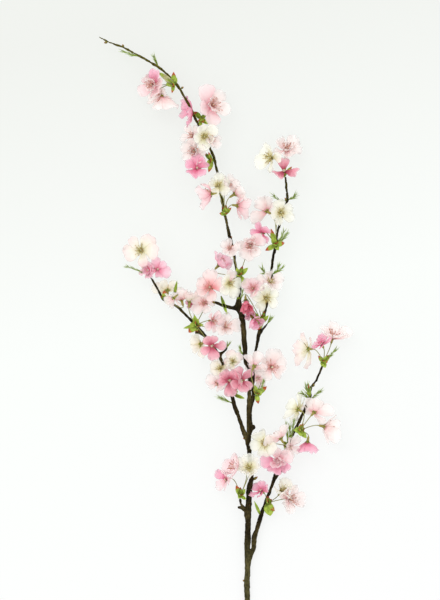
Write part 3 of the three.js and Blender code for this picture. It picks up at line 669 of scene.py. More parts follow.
def makeStamen():
    # a thread along Z with an anther on its end
    deselect()
    bpy.ops.mesh.primitive_circle_add(vertices=3, radius=stamen["wire"], fill_type="NGON")
    piece = bpy.context.object
    startEdit(piece)
    pickAll()
    for step in range(stamen["steps"]):
        extrudeBy((stamen["sway"] * (step - 1), 0, 0.95 / stamen["steps"]))
    bpy.ops.mesh.select_all(action="DESELECT")
    bpy.ops.mesh.primitive_ico_sphere_add(subdivisions=1, radius=stamen["anther"],
                                          location=(0, 0, 0.97), scale=(1, 0.75, 1.25))
    pickAll()
    bpy.ops.mesh.normals_make_consistent(inside=False)
    endEdit()
    finishModel(piece, "stamen", threads["brown"])
    for face in piece.data.polygons:
        face.material_index = int(face.center.z > 0.88)
    return piece


def makePistil():
    deselect()
    bpy.ops.mesh.primitive_cone_add(vertices=6, radius1=pistil["foot"], radius2=pistil["top"],
                                    depth=pistil["length"], location=(0, 0, pistil["length"] / 2))
    piece = bpy.context.object
    startEdit(piece)
    bpy.ops.mesh.primitive_uv_sphere_add(segments=8, ring_count=5, radius=pistil["knob"],
                                         location=(0, 0, 0.31), scale=(1, 1, 0.7))
    endEdit()
    only(piece)
    bpy.ops.object.transform_apply(location=True, rotation=True, scale=True)
    return finishModel(piece, "pistil", [makePlainSurface("pistil", pistil["colour"], 0.5)])


stamenModel = makeStamen()
pistilModel = makePistil()


def makeStamenSet(name, count, leanFrom, leanTo, lengthFrom, lengthTo):
    parts = [copyOf(pistilModel, Matrix.Scale(pistil["size"] * lengthTo, 4))]
    for index in range(count):
        share = (index * stamen["leanStep"]) % 1
        length = lengthFrom + (lengthTo - lengthFrom) * dice.random()
        lean = (leanFrom + (leanTo - leanFrom) * share
                + dice.uniform(-stamen["leanBy"], stamen["leanBy"]))
        turn = index * stamen["step"] + dice.uniform(-stamen["stepBy"], stamen["stepBy"])
        parts.append(copyOf(stamenModel, (
            Matrix.Rotation(turn, 4, "Z") @ Matrix.Rotation(lean, 4, "Y")
            @ Matrix.Translation((0, 0, stamen["foot"]))
            @ Matrix.Rotation(dice.uniform(-3, 3), 4, "Z")
            @ Matrix.Diagonal((stamen["thin"], stamen["thin"], length, 1)))))
    return joinAll(parts, "stamens_" + name)


stamenModels = {name: makeStamenSet(name, *numbers) for name, numbers in stamenSets.items()}
models.extend(stamenModels.values())
print("stamens ready")


# column, row, height of the middle in mm, width in grid steps, facing, tone, petal form,
# stamens, and for some the turn of the first petal
blooms = {
    "a1": (151.5, 85, 33, 30, (-0.4, 0, 0.92), "blush", "ruffled", "long brown"),
    "a2": (163.5, 101, 19.5, 30, (0.15, -0.95, -0.25), "pale", "flared", "tuft brown"),
    "b1": (213, 105.4, 36, 36, (0.35, 0.1, 0.92), "blush", "flared", "long brown"),
    "c1": (188, 113, 30, 26, (-0.95, 0, 0.25), "deep", "ruffled", "short pink"),
    "c2": (191, 135, 21, 25, (-0.6, 0.1, 0.7), "faint", "open", "tuft brown"),
    "c3": (204.5, 137.5, 41, 25, (0.15, -0.1, 0.95), "white", "round", "tuft golden"),
    "c4": (194, 151, 29, 28, (-0.35, -0.2, 0.9), "faint", "ruffled", "long brown", 0.31),
    "c5": (197, 168, 36, 25, (0, 0.25, 0.95), "deep", "open", "short pink"),
    "d1": (218.5, 185.5, 42, 24, (0, 0.35, 0.92), "white", "round", "tuft golden"),
    "d2": (206, 195.4, 44, 29, (-0.9, -0.1, -0.12), "blush", "folded", "tuft brown", 0.52),
    "d3": (238, 192, 31, 23, (0.75, 0.5, -0.3), "pale", "flared", "tuft brown"),
    "d4": (241.5, 206.1, 23, 24, (0.85, -0.1, -0.45), "blush", "flared", "tuft brown", 0.31),
    "e1": (269, 158, 34, 35, (-0.78, 0, 0.62), "white", "round", "tuft golden"),
    "e2": (287, 148.5, 24, 30, (0.15, 0.6, 0.72), "pale", "open", "long brown"),
    "e3": (284, 170.5, 38, 30, (0, 0.3, 0.94), "mauve", "ruffled", "short pink", 1.66),
    "f1": (264, 209, 14, 24, (-0.6, 0.4, -0.6), "pale", "flared", "tuft brown"),
    "f2": (281, 213, 43, 29, (0.25, 0, 0.95), "white", "ruffled", "tuft golden"),
    "f3": (261, 234, 36, 24, (-0.4, -0.3, 0.85), "deep", "folded", "short pink"),
    "g1": (250, 246, 42, 30, (0, -0.1, 0.97), "pale", "round", "long brown"),
    "g2": (230, 248, 41, 21, (-0.1, 0.2, 0.95), "faint", "ruffled", "tuft brown", 0.31),
    "g3": (222, 262, 24, 24, (0.5, 0.5, 0.3), "rosy", "ruffled", "tuft brown"),
    "h1": (230.5, 283.5, 39, 25, (0.45, 0, 0.88), "white", "ruffled", "tuft golden"),
    "h2": (209.5, 287, 33, 30, (-0.2, 0.2, 0.9), "salmon", "open", "tuft brown", 1.35),
    "h3": (204, 303, 28, 25, (-0.2, 0, 0.9), "pale", "open", "tuft brown", 0.2),
    "i1": (141, 250, 36, 34, (-0.1, 0.05, 0.98), "creamPink", "round", "tuft golden"),
    "i2": (147, 270.5, 31.6, 21, (-0.5, -0.1, 0.85), "rosy", "ruffled", "short pink"),
    "i3": (158, 269.5, 31, 23, (0.4, 0.1, 0.9), "rosy", "ruffled", "short pink"),
    "j1": (166.5, 287.5, 12, 22, (-0.1, 0.6, -0.6), "cream", "flared", "tuft brown", 0.9),
    "j2": (171.3, 300, 36, 18, (-0.6, -0.5, -0.4), "pale", "flared", "tuft brown", 1.15),
    "j3": (180.5, 296, 32, 22, (-0.25, 0.93, 0.05), "pale", "flared", "tuft brown"),
    "j4": (190, 297, 26, 24, (0.1, 0.95, -0.15), "creamPink", "flared", "tuft brown"),
    "j5": (191.8, 305.5, 20, 14, (-0.1, 0.3, 0.9), "deep", "open", "short pink", 0.1),
    "k1": (213.7, 320.6, 42, 24, (0.6, 0, 0.7), "blush", "flared", "tuft brown", 1.15),
    "k2": (226, 326, 38, 28, (0.2, 0.25, 0.93), "faint", "open", "long brown"),
    "k3": (212, 346, 41, 26, (0, 0, 1), "mauve", "open", "short pink"),
    "k4": (197, 345, 18, 21, (-0.7, -0.2, -0.5), "cream", "flared", "tuft golden"),
    "l1": (229.5, 380.5, 38, 30, (0, 0, 1), "mauve", "ruffled", "short pink"),
    "l2": (242, 381, 40, 28, (0.25, -0.1, 0.95), "mauve", "round", "short pink"),
    "l3": (220, 368, 28, 21, (-0.4, 0.3, 0.8), "cream", "ruffled", "tuft golden", 0.31),
    "l4": (233, 361, 30, 21, (0, 0.5, 0.8), "creamPink", "ruffled", "tuft golden"),
    "m1": (272, 367, 36, 34, (0.3, 0.1, 0.93), "pale", "round", "long brown"),
    "m2": (255.5, 363, 37, 22, (0.3, 0.6, -0.6), "pale", "flared", "tuft brown"),
    "n1": (303, 349, 22, 31, (-0.75, 0, -0.55), "creamPink", "round", "tuft golden"),
    "n2": (321, 343, 30, 20, (-0.3, 0.55, 0.45), "deep", "ruffled", "short pink"),
    "n3": (334, 333.5, 20, 28, (0.2, 0.88, 0.4), "pale", "flared", "tuft brown"),
    "p1": (294, 408, 22, 26, (-0.7, 0.3, -0.6), "white", "round", "tuft golden"),
    "p2": (317, 409, 30, 27, (0.55, 0.55, -0.6), "pale", "flared", "tuft brown"),
    "p3": (330, 428, 20.5, 30, (0.9, -0.2, -0.3), "faint", "flared", "tuft brown"),
    "p4": (307, 447, 22, 24, (-0.15, -0.97, -0.1), "deep", "ruffled", "short pink"),
    "q1": (264, 443, 36, 29, (-0.1, -0.05, 0.97), "white", "round", "tuft golden"),
    "q2": (278.5, 434.3, 33, 25, (-0.4, 0.7, -0.5), "pale", "flared", "tuft brown", 1.15),
    "q3": (278, 461, 29, 29, (0, -0.1, 0.98), "deep", "open", "short pink"),
    "r1": (234, 466.1, 27, 27, (-0.7, 0.3, 0.3), "blush", "round", "long brown", 0.52),
    "r2": (249, 467, 38, 26, (-0.2, 0.1, 0.95), "sheer", "round", "tuft golden"),
    "r3": (224, 480, 22, 24, (-0.7, -0.1, 0.5), "blush", "ruffled", "short pink"),
    "s1": (260.5, 490, 26, 23, (-0.5, 0.5, 0.65), "deep", "ruffled", "short pink"),
    "s2": (284, 488.5, 17, 25, (0.4, 0.6, 0.35), "white", "flared", "tuft golden", 1.15),
    "s3": (291, 500, 22, 30, (0.55, 0, 0.8), "pale", "open", "long brown"),
    "t1": (246, 302.5, 39, 27, (0.08, -0.75, 0.5), "rose", "folded", "short pink", 0.31),
    "t2": (254.5, 320, 36, 23, (0.5, -0.6, 0.5), "deep", "folded", "short pink", 0.52),
    "u1": (252.5, 288.5, 34, 23, (-0.2, 0.2, 0.95), "blush", "ruffled", "long brown", 0.1),
    "u2": (271, 281, 37, 26, (0.3, 0.4, 0.8), "faint", "open", "tuft golden"),
    "u3": (266, 298.5, 38, 29, (0, -0.1, 0.97), "white", "round", "tuft golden"),
    "t3": (250, 312, 34, 18, (0.2, -0.75, 0.5), "deep", "folded", "short pink"),
    "a3": (157.5, 92.5, 25, 21, (-0.3, -0.5, 0.7), "faint", "round", "tuft brown"),
    "c6": (212.5, 139, 33, 20, (0.6, 0.1, 0.6), "faint", "ruffled", "tuft brown"),
    "d5": (229.5, 184, 34, 20, (0.4, 0.5, 0.7), "faint", "ruffled", "tuft brown"),
    "l5": (217, 383, 26, 22, (-0.4, -0.1, 0.8), "pale", "ruffled", "tuft brown"),
    "m3": (257.5, 379, 28, 23, (-0.2, -0.3, 0.85), "pale", "round", "short pink"),
    "q4": (291.5, 447.5, 28, 22, (0.5, -0.2, 0.7), "faint", "ruffled", "short pink"),
}
sharedNodes = (("c2", "c3", "c4"), ("d1", "d2"), ("d3", "d4"), ("e1", "e2"), ("g1", "g2"),
               ("h1", "h2", "h3"), ("i2", "i3"), ("j2", "j3", "j4", "j5"), ("k1", "k2"),
               ("l1", "l2"), ("l3", "l4"), ("m1", "m2"), ("q1", "q2"), ("r1", "r2"),
               ("s2", "s3"), ("t1", "t2"), ("u1", "u2", "u3"))
addedBlooms = {  # small ones that stand behind others, and the nodes that they belong with
    "a3": "bloom_a1", "c6": "bloom_c2_c3_c4", "d5": "bloom_d1_d2", "l5": "bloom_l3_l4",
    "m3": "bloom_m1_m2", "q4": "bloom_q1_q2", "t3": "bloom_t1_t2"}
# single petals of another tone, by the way they point
accents = {"a1": ("deep", (0.2, 1)), "g3": ("deep", (-0.8, -0.6)), "r3": ("deep", (-1, 0.1)),
           "n2": ("blush", (-0.3, -1)), "q3": ("blush", (0.5, 1)), "h1": ("pale", (0, 1)),
           "b1": ("pale", (0.9, 0.3))}
few = {"e3": 3}  # blooms with fewer petals
# the tone of the smaller petals inside a fuller bloom, and how many rings of them
fuller = {"q3": ("blush", 2), "b1": ("pale", 1), "a1": ("pale", 1), "g1": ("pale", 1),
          "e2": ("faint", 1), "c4": ("faint", 1), "s3": ("faint", 1), "p4": ("deep", 1),
          "n2": ("deep", 1), "i2": ("rosy", 1)}
innerRings = ((0.62, 0.55, 0.45), (0.42, 1.0, 0.15))  # size, lift and shift of each
closed = {"t1": 1.1, "t2": 0.8, "t3": 0.95}  # half open blooms
bloomShape = {"petals": 5, "size": 1.1, "length": 0.17, "narrow": 0.78, "wide": 1.06,
              # a bloom that faces up less than front lifts its petals by one of these
              "front": 0.5, "cupped": 0.72, "flared": 0.46, "sideways": 0.7, "behind": -0.35,
              # how much each petal differs, and how nearly it has to point an accent's way
              "pitchBy": 0.26, "roll": 0.12, "rollBy": 0.34, "turnBy": 0.2, "spinStep": 2.4,
              "accent": 0.72}


def bloomFrame(name):
    column, row, height, steps, towards, tone = blooms[name][:6]
    facing = Vector(towards).normalized()
    front = facing.z > bloomShape["front"]
    pitch = petalKinds[petalTones[tone][0]][1] if front else bloomShape["cupped"]
    reach = steps * layout["step"] * mm / 2 / math.cos(pitch)
    heart = place(column, row, height) - facing * reach * math.sin(pitch) / 2
    turn = bloomShape["spinStep"] * list(blooms).index(name)
    if len(blooms[name]) > 8:
        turn = blooms[name][8]
    return {"facing": facing, "front": front, "pitch": pitch, "reach": reach, "heart": heart,
            "turn": turn, "tone": tone,
            "at": Matrix.Translation(heart) @ turnTo(Vector((0, 0, 1)), facing)}


def makeBloom(name):
    shape = bloomFrame(name)
    kind, thread = blooms[name][7].split()
    forms = formMix[blooms[name][6]]
    count = few.get(name, bloomShape["petals"])
    opened = shape["pitch"]
    if not shape["front"]:
        behind = shape["facing"].z < bloomShape["behind"]
        opened = bloomShape["flared" if behind else "sideways"]
    opened = closed.get(name, opened)
    accent, towards = accents.get(name, ("", (0, 0)))
    innerTone, rings = fuller.get(name, ("", 0))
    parts = []
    for size, lift, shift in ((1.0, 0.0, 0.0),) + innerRings[:rings]:
        for petal in range(count):
            seed = shape["turn"] + petal
            length = (shape["reach"] * bloomShape["size"]
                      * (1 + bloomShape["length"] * wobble(seed)) * size)
            pitch = opened + bloomShape["pitchBy"] * wobble(seed + 0.5) + lift
            turn = (shape["turn"] + (petal + shift) * (2 * math.pi / count)
                    + bloomShape["turnBy"] * wobble(seed + 0.3))
            roll = bloomShape["roll"] + bloomShape["rollBy"] * wobble(seed + 0.7)
            width = length * dice.uniform(bloomShape["narrow"], bloomShape["wide"])
            matrix = (shape["at"] @ Matrix.Rotation(turn, 4, "Z") @ Matrix.Rotation(-pitch, 4, "Y")
                      @ Matrix.Rotation(roll, 4, "X") @ Matrix.Diagonal((length, width, length, 1)))
            out = (matrix.to_3x3() @ Vector((1, 0, 0))).normalized()
            tone = shape["tone"] if size == 1.0 else innerTone
            if out.x * towards[0] + out.y * towards[1] > bloomShape["accent"]:
                tone = accent
            parts.append(copyOf(petals[dice.choice(forms)], matrix, [petalSurfaces[tone]]))
    spread = shape["at"] @ Matrix.Rotation(shape["turn"], 4, "Z") @ Matrix.Scale(shape["reach"], 4)
    tuft = copyOf(stamenModels[kind], spread)
    for index, old in enumerate(tuft.data.materials):
        if old in threads["brown"]:
            tuft.data.materials[index] = threads[thread][threads["brown"].index(old)]
    return joinAll(parts + [tuft], "flower_" + name)


nodeOf = {name: "bloom_" + "_".join(group) for group in sharedNodes for name in group} | addedBlooms
for name in blooms:
    slot = petalKinds[petalTones[blooms[name][5]][0]][0]
    settle(makeBloom(name), slot, nodeOf.get(name, "bloom_" + name))
print("blooms ready")


# root is painted shade: the darker green that a blade takes towards its foot
greens = {"leaf": (140, 166, 42), "leafLight": (184, 204, 88), "leafDark": (88, 102, 24),
          "creamy": (176, 174, 112), "creamyLight": (222, 218, 172), "root": (74, 84, 22),
          "tip": (198, 90, 50), "tipDark": (156, 50, 30), "calyx": (150, 138, 58),
          "calyxTip": (184, 108, 70), "stalk": (138, 136, 66), "shoot": (128, 146, 58),
          "shootTip": (196, 212, 150), "bud": (122, 108, 50)}
leafLooks = {  # name, base, middle, tip, where the tip's colour starts, roughness
    "tipped": ("leafTipped", "leaf", "leafLight", "tip", 0.9, 0.45),
    "green": ("leafGreen", "leaf", "leafLight", "leafLight", 0.9, 0.45),
    "creamy": ("leafCreamy", "creamy", "creamyLight", "leafLight", 0.9, 0.45),
    "dark": ("leafDark", "leafDark", "leaf", "tipDark", 0.95, 0.45),
    "sepal": ("sepal", "calyx", "leaf", "calyxTip", 0.9, 0.45),
    "bud": ("budScale", "bud", "calyx", "calyxTip", 0.95, 0.6),
    "shoot": ("shootLeaf", "shoot", "leaf", "shootTip", 0.75, 0.45),
}
# foot sets how far the painted shade at a blade's base reaches along it
leafSurface = {"translucence": 0.25, "shine": 0.35, "cloud": (260, 4.0), "ragged": 0.5,
               "rib": ((0.0, 0.55), (0.07, 0.0)), "foot": ((0.25, 0.75), (0.62, 0.0)),
               "veins": 50, "veinSlant": -0.9, "bump": (0.4, 0.0003)}


def makeLeafSurface(name, base, middle, tip, tipFrom, roughness):
    # green blade with a pale rib, side veins, a tip of another colour and painted shade towards its
    # foot
    surface, tree, shader = newSurface(name, roughness)
    where = addPlace(tree)
    axes = addAxes(tree, where["UV"])
    cloud = addNoise(tree, where["Object"], *leafSurface["cloud"])
    reach = addMath(tree, "MULTIPLY_ADD", cloud, leafSurface["ragged"], axes["X"])
    colour = addRamp(tree, cloud, [(0.32, greens[base]), (0.66, greens[middle])])
    ends = addRamp(tree, reach, [(tipFrom, 0.0), (min(tipFrom + 0.2, 1.0), 1.0)])
    colour = addMix(tree, ends, colour, greens[tip])
    off = addMath(tree, "ABSOLUTE", addMath(tree, "SUBTRACT", axes["Y"], 0.5))
    colour = addMix(tree, addRamp(tree, off, leafSurface["rib"]), colour, greens[middle])
    # painted shade: the blade darkens to the root green towards its foot, where it sits in the
    # shade of the bud
    colour = addMix(tree, addRamp(tree, reach, leafSurface["foot"]), colour, greens["root"])
    slant = addMath(tree, "MULTIPLY_ADD", off, leafSurface["veinSlant"], axes["X"])
    veins = addMath(tree, "SINE", addMath(tree, "MULTIPLY", slant, leafSurface["veins"]))
    addBump(tree, shader, addMix(tree, 0.5, veins, cloud), *leafSurface["bump"])
    feed(tree, shader, {"Base Color": colour, "Specular IOR Level": leafSurface["shine"]})
    through = addNode(tree, "ShaderNodeBsdfTranslucent", {"Color": colour})
    lit = mixShaders(tree, leafSurface["translucence"], shader.outputs[0], through.outputs[0])
    feed(tree, tree.nodes["Material Output"], {"Surface": lit})
    return surface


leafSurfaces = {name: makeLeafSurface(*look) for name, look in leafLooks.items()}
stalkSurface = makePlainSurface("stalk", greens["stalk"], 0.55)
calyxSurface = makePlainSurface("calyx", greens["calyx"], 0.55, 0.4)

leafGrid = {"rows": 7, "columns": 4, "wall": 0.03}
# half widths from base to tip of a blade one long and one wide, then soft pulls
leafForms = {
    "broad": {"widths": (0.15, 0.34, 0.46, 0.5, 0.48, 0.4, 0.25, 0.03), "fold": 0.1, "pulls": (
        ((7, 2), (-0.03, 0.02, -0.1), 0.5), ((3, 0), (0, 0, 0.04), 0.2),
        ((5, 4), (0, 0, -0.03), 0.2))},
    "narrow": {"widths": (0.15, 0.34, 0.47, 0.49, 0.45, 0.35, 0.2, 0.02), "fold": 0.08, "pulls": (
        ((7, 2), (-0.02, -0.03, 0.06), 0.45), ((3, 4), (0, 0, 0.03), 0.2))},
    "curled": {"widths": (0.14, 0.34, 0.48, 0.5, 0.46, 0.37, 0.22, 0.02), "fold": 0.13, "pulls": (
        ((7, 2), (-0.08, 0.08, 0.16), 0.5), ((3, 2), (0, 0, -0.05), 0.3))},
}


def makeLeaf(name, form):
    rows, columns = leafGrid["rows"], leafGrid["columns"]
    leaf = bladeGrid(rows, columns)
    shapeBlade(leaf, rows, form["widths"], (1,) * (columns + 1))
    for side, rise in ((0, 1), (columns, 1), (columns // 2, -1 / 3)):
        pickCell(leaf, rows, [(row, side) for row in range(1, rows)])
        moveBy((0, 0, form["fold"] * rise))
    pullBlade(leaf, rows, form["pulls"])
    endEdit()
    thicken(leaf, leafGrid["wall"])
    return finishModel(leaf, name, [leafSurfaces["green"]])


leaves = {name: makeLeaf("leaf_" + name, form) for name, form in leafForms.items()}
needleShape = {"rows": 4, "widths": (0.3, 0.5, 0.42, 0.25, 0.02), "hollow": 0.05, "wall": 0.05,
               "tipUp": 0.1, "tipReach": 0.6}
cupShape = {"radius": 2.1, "sides": 8,  # in mm; then each step down, and how it widens
            "steps": ((0.8, 1.14), (1.2, 0.82), (1.6, 0.92), (2.0, 1.0), (1.6, 0.62))}


def makeNeedle():
    # the narrow leaflet of a feathery shoot and of a calyx
    rows = needleShape["rows"]
    needle = bladeGrid(rows, 2)
    shapeBlade(needle, rows, needleShape["widths"], (1, 1, 1))
    pickCell(needle, rows, [(row, 1) for row in range(rows)])
    moveBy((0, 0, -needleShape["hollow"]))
    pickCell(needle, rows, [(rows, 1)])
    moveBy((0, 0, needleShape["tipUp"]), needleShape["tipReach"])
    endEdit()
    thicken(needle, needleShape["wall"])
    return finishModel(needle, "needle", [leafSurfaces["shoot"]])


def makeCup():
    # the tube of a calyx, its mouth at the origin and its foot below
    deselect()
    bpy.ops.mesh.primitive_circle_add(vertices=cupShape["sides"], radius=cupShape["radius"],
                                      fill_type="NGON")
    cup = bpy.context.object
    startEdit(cup)
    pickAll()
    for drop, share in cupShape["steps"]:
        extrudeBy((0, 0, -drop))
        bpy.ops.transform.resize(value=(share, share, 1))
    pickAll()
    bpy.ops.mesh.normals_make_consistent(inside=False)
    endEdit()
    return finishModel(cup, "cup", [calyxSurface])


needleModel = makeNeedle()
cupModel = makeCup()
# in mm, with the angle between a sepal and its petals
sepal = {"count": 5, "length": 5.2, "width": 2.6, "under": 0.12, "seat": -0.75, "out": 1.3}


def makeCalyx(name):
    shape = bloomFrame(name)
    seat = (shape["at"] @ Matrix.Rotation(shape["turn"], 4, "Z")
            @ Matrix.Translation((0, 0, sepal["seat"] * mm)))
    parts = [copyOf(cupModel, seat @ Matrix.Scale(mm, 4))]
    for index in range(sepal["count"]):
        matrix = (seat @ Matrix.Rotation((index + 0.5) * 2 * math.pi / sepal["count"], 4, "Z")
                  @ Matrix.Translation((sepal["out"] * mm, 0, 0))
                  @ Matrix.Rotation(-shape["pitch"] + sepal["under"], 4, "Y") @ Matrix.Diagonal(
                      (sepal["length"] * mm, sepal["width"] * mm, sepal["length"] * mm, 1)))
        parts.append(copyOf(needleModel, matrix, [leafSurfaces["sepal"]]))
    return parts


def makeTube(points, radii, surface):
    # a thin stem along a smooth curve through the points
    deselect()
    bpy.ops.curve.primitive_bezier_curve_add()
    piece = bpy.context.object
    line = piece.data.splines[0]
    line.bezier_points.add(len(points) - 2)
    for corner, at, radius in zip(line.bezier_points, points, radii):
        corner.co = at
        corner.handle_left_type = corner.handle_right_type = "AUTO"
        corner.radius = radius
    piece.data.bevel_depth = 1.0
    piece.data.bevel_resolution = 1
    piece.data.resolution_u = 4
    piece.data.use_fill_caps = True
    only(piece)
    bpy.ops.object.convert(target="MESH")
    bpy.ops.object.shade_smooth()
    piece.data.materials.clear()
    piece.data.materials.append(surface)
    return piece


# calyx length and stalk radius in mm; bend and seat in shares of the stalk and of the bud
flowerStalk = {"calyx": 7.75, "bend": 0.35, "side": 0.38, "front": 0.22, "radius": 0.6,
               "flare": 1.6, "steps": 6}


def makeFlowerStalk(name, bud, radius):
    shape = bloomFrame(name)
    foot = shape["heart"] - shape["facing"] * flowerStalk["calyx"] * mm
    side = foot - bud
    side.z = max(side.z, 0)
    side.normalize()
    end = bud + side * radius * flowerStalk["side"] + Vector((0, 0, radius * flowerStalk["front"]))
    bend = foot - shape["facing"] * (foot - end).length * flowerStalk["bend"]
    bend.z = max(bend.z, min(foot.z, end.z))
    shares = [step / flowerStalk["steps"] for step in range(flowerStalk["steps"] + 1)]
    points = [foot * (1 - share) ** 2 + bend * 2 * share * (1 - share) + end * share ** 2
              for share in shares]
    thick = flowerStalk["radius"] * mm
    radii = [thick * flowerStalk["flare"]] + [thick] * flowerStalk["steps"]
    return makeTube(points, radii, stalkSurface)


# bud (column, row, height), radius in mm, blooms, leaves (tip column and row, width in grid steps,
# lift of the tip in mm, form and surface) and shoots (column, row, height)
clusters = {
    "a": {"bud": (174, 84, 28), "radius": 5, "blooms": "a1 a2 a3", "leaves": [
        (173.5, 72, 4.6, 4, "narrow tipped"), (164.8, 80.2, 3.4, 3, "broad green"),
        (172, 93.5, 3.2, 2, "narrow tipped"), (176.8, 77.9, 3.6, 3, "broad green"),
        (165.5, 84.5, 4.4, 1, "broad green"), (157.5, 72, 4.4, 5, "curled creamy")]},
    "b": {"bud": (201, 119, 29), "radius": 5.4, "blooms": "b1 c1 c2 c3 c6", "leaves": [
        (194, 111, 4.0, 4, "curled dark"), (207.5, 113, 3.4, 3, "narrow dark"),
        (209.4, 124.5, 4, 5, "broad green"), (200.3, 127, 3.4, 3, "narrow green"),
        (203.5, 122.5, 4.6, 6, "broad tipped")]},
    "c": {"bud": (212, 160.5, 28), "radius": 5.2, "blooms": "c4 c5", "leaves": [
        (204.2, 152.9, 3.6, 3, "narrow dark"), (208.7, 172.8, 4.2, 3, "narrow tipped"),
        (208.3, 152, 2.6, 5, "narrow tipped"), (206.4, 165.5, 4.6, 4, "broad green")]},
    "d": {"bud": (225, 214, 29), "radius": 5.6, "blooms": "d1 d2 d3 d4 d5", "leaves": [
        (226, 204.5, 3.4, 5, "broad tipped"), (231.5, 207.5, 3.4, 4, "narrow tipped"),
        (219.5, 213.5, 3.4, 3, "broad tipped"), (222, 207, 3.4, 4, "narrow dark"),
        (225.5, 208.5, 4.4, 7, "broad green")]},
    "e": {"bud": (285.5, 174, 28.6), "radius": 4, "blooms": "e1 e2 e3", "leaves": [
        (292, 166.5, 3.0, 3, "narrow tipped"), (281, 177.5, 3.4, 5, "broad green")]},
    "f": {"bud": (275.5, 245, 29), "radius": 5.6, "blooms": "f1 f2 f3", "leaves": [
        (270.6, 228.5, 4.6, 4, "narrow tipped"), (265.2, 250.5, 4.4, 3, "broad tipped"),
        (284.5, 243, 4.4, 3, "broad tipped"), (272, 237, 4.6, 7, "broad green"),
        (278.5, 250.5, 3.6, 2, "broad green")],
        "shoots": [((281, 238, 32), (283.4, 232, 35)), ((283, 239.5, 31), (287, 233.5, 33))]},
    "g": {"bud": (239.5, 275.5, 29), "radius": 5.6, "blooms": "g1 g2 g3 h1", "leaves": [
        (242.7, 265.5, 3.6, 5, "narrow dark"), (248, 267.8, 4, 3, "broad green"),
        (245.6, 285.5, 4.6, 3, "broad green"), (236.5, 268, 4.0, 4, "broad green")]},
    "i": {"bud": (149, 275.5, 24), "radius": 4, "blooms": "i1 i2 i3", "leaves": [
        (142, 267, 3.4, 3, "narrow green"), (146, 269.5, 3.2, 5, "broad green")],
        "shoots": [((139.2, 271.2, 26), (127.1, 266.3, 28))]},
    "j": {"bud": (165, 299.5, 24), "radius": 4.6, "blooms": "j1 j2 j3", "leaves": [
        (164.3, 290.5, 5.0, 4, "broad tipped"), (160.5, 296, 3, 4, "narrow dark"),
        (170.5, 305.5, 3.0, 3, "narrow green")]},
    "k": {"bud": (195.8, 325, 24), "radius": 5.6, "blooms": "h2 h3 j4 j5 k1 k2 k3 k4", "leaves": [
        (194.5, 315, 4, 5, "broad green"), (188.5, 332.5, 6, 3, "broad tipped"),
        (203.5, 325, 3.4, 3, "broad green"), (183, 328.5, 3, 3, "narrow green"),
        (190, 324, 5.0, 6, "broad green"), (198.5, 317.5, 4.2, 7, "curled green"),
        (196.5, 333, 3.6, 1, "broad tipped")]},
    "l": {"bud": (233.6, 394.5, 24), "radius": 5, "blooms": "l1 l2 l3 l4 l5", "leaves": [
        (246, 399, 3, 6, "curled green"), (238, 390.5, 3.4, 4, "narrow green")],
        "shoots": [((235, 391, 27), (236.6, 383, 28))]},
    "t": {"bud": (262, 322, 29), "radius": 5, "blooms": "t1 t2 t3 u1 u2 u3", "leaves": [
        (251.5, 310.4, 3.4, 3, "narrow green"), (268.5, 315.5, 3.6, 4, "broad green"),
        (257.2, 329.8, 4.6, 3, "broad tipped"), (262.2, 313, 3.0, 7, "curled dark"),
        (255.5, 316, 4.6, 6, "broad green")]},
    "m": {"bud": (256.5, 394, 28), "radius": 5, "blooms": "m1 m2 m3", "leaves": [
        (255, 385.2, 4, 3, "broad green"), (266.9, 386.5, 4.6, 3, "broad tipped"),
        (258.3, 403.8, 4, 2, "broad tipped"), (262.5, 391.5, 4.8, 5, "broad green")],
        "shoots": [((261.2, 387.9, 32), (264, 380, 34))]},
    "n": {"bud": (323.5, 362, 22), "radius": 5, "blooms": "n1 n2 n3", "leaves": [
        (318.5, 355.8, 3.8, 4, "broad tipped"), (329.9, 355, 4.4, 4, "broad tipped"),
        (325.5, 368, 4.0, 2, "broad green"), (321.5, 366, 4.0, 3, "broad green"),
        (327.5, 362, 4.0, 6, "broad tipped")],
        "shoots": [((330, 356, 26), (335.4, 350.3, 27))]},
    "p": {"bud": (300.5, 430.5, 21), "radius": 5.4, "blooms": "p1 p2 p3 p4", "leaves": [
        (294, 430, 5, 4, "broad green"), (303.4, 423, 3.4, 5, "narrow tipped"),
        (306.6, 438.4, 4.4, 4, "broad green"), (301, 424.5, 4.4, 6, "broad tipped"),
        (300.5, 436, 4.8, 6, "broad green")]},
    "q": {"bud": (287.5, 446, 18), "radius": 5, "blooms": "q1 q2 q3 q4", "leaves": [
        (283, 441.5, 3.2, 5, "broad dark")],
        "shoots": [((287.6, 434, 22), (286.4, 425.8, 24)), ((293, 431, 21), (294.4, 421.2, 22)),
                   ((290.5, 433, 22), (290, 427, 24))]},
    "r": {"bud": (240.6, 496, 17), "radius": 5, "blooms": "r1 r2 r3", "leaves": [
        (236.2, 486, 4.6, 4, "broad tipped"), (245.4, 489.6, 3.8, 3, "broad green"),
        (247, 500.5, 3, 6, "curled green"), (240.5, 487, 3.4, 6, "narrow dark"),
        (238.5, 499, 3.4, 3, "broad green")]},
    "s": {"bud": (268, 503.5, 14), "radius": 5, "blooms": "s1 s2 s3", "leaves": [
        (270.5, 516.8, 8.4, 4, "broad green"), (274.6, 511.8, 4.4, 6, "broad tipped"),
        (268, 496.5, 3.6, 3, "broad dark"), (272, 499.5, 3.4, 4, "narrow dark")]},
}
# bracts in shares of their bud's radius, and how much wider a leaf is than it is listed
crown = {"length": 1.7, "width": 1.5, "open": 0.55, "openBy": 0.12, "rise": 0.5, "turn": 0.3,
         "sizeBy": 0.15, "seat": 0.5, "wide": 1.2,
         "looks": ("tipped", "green", "tipped", "green", "dark")}


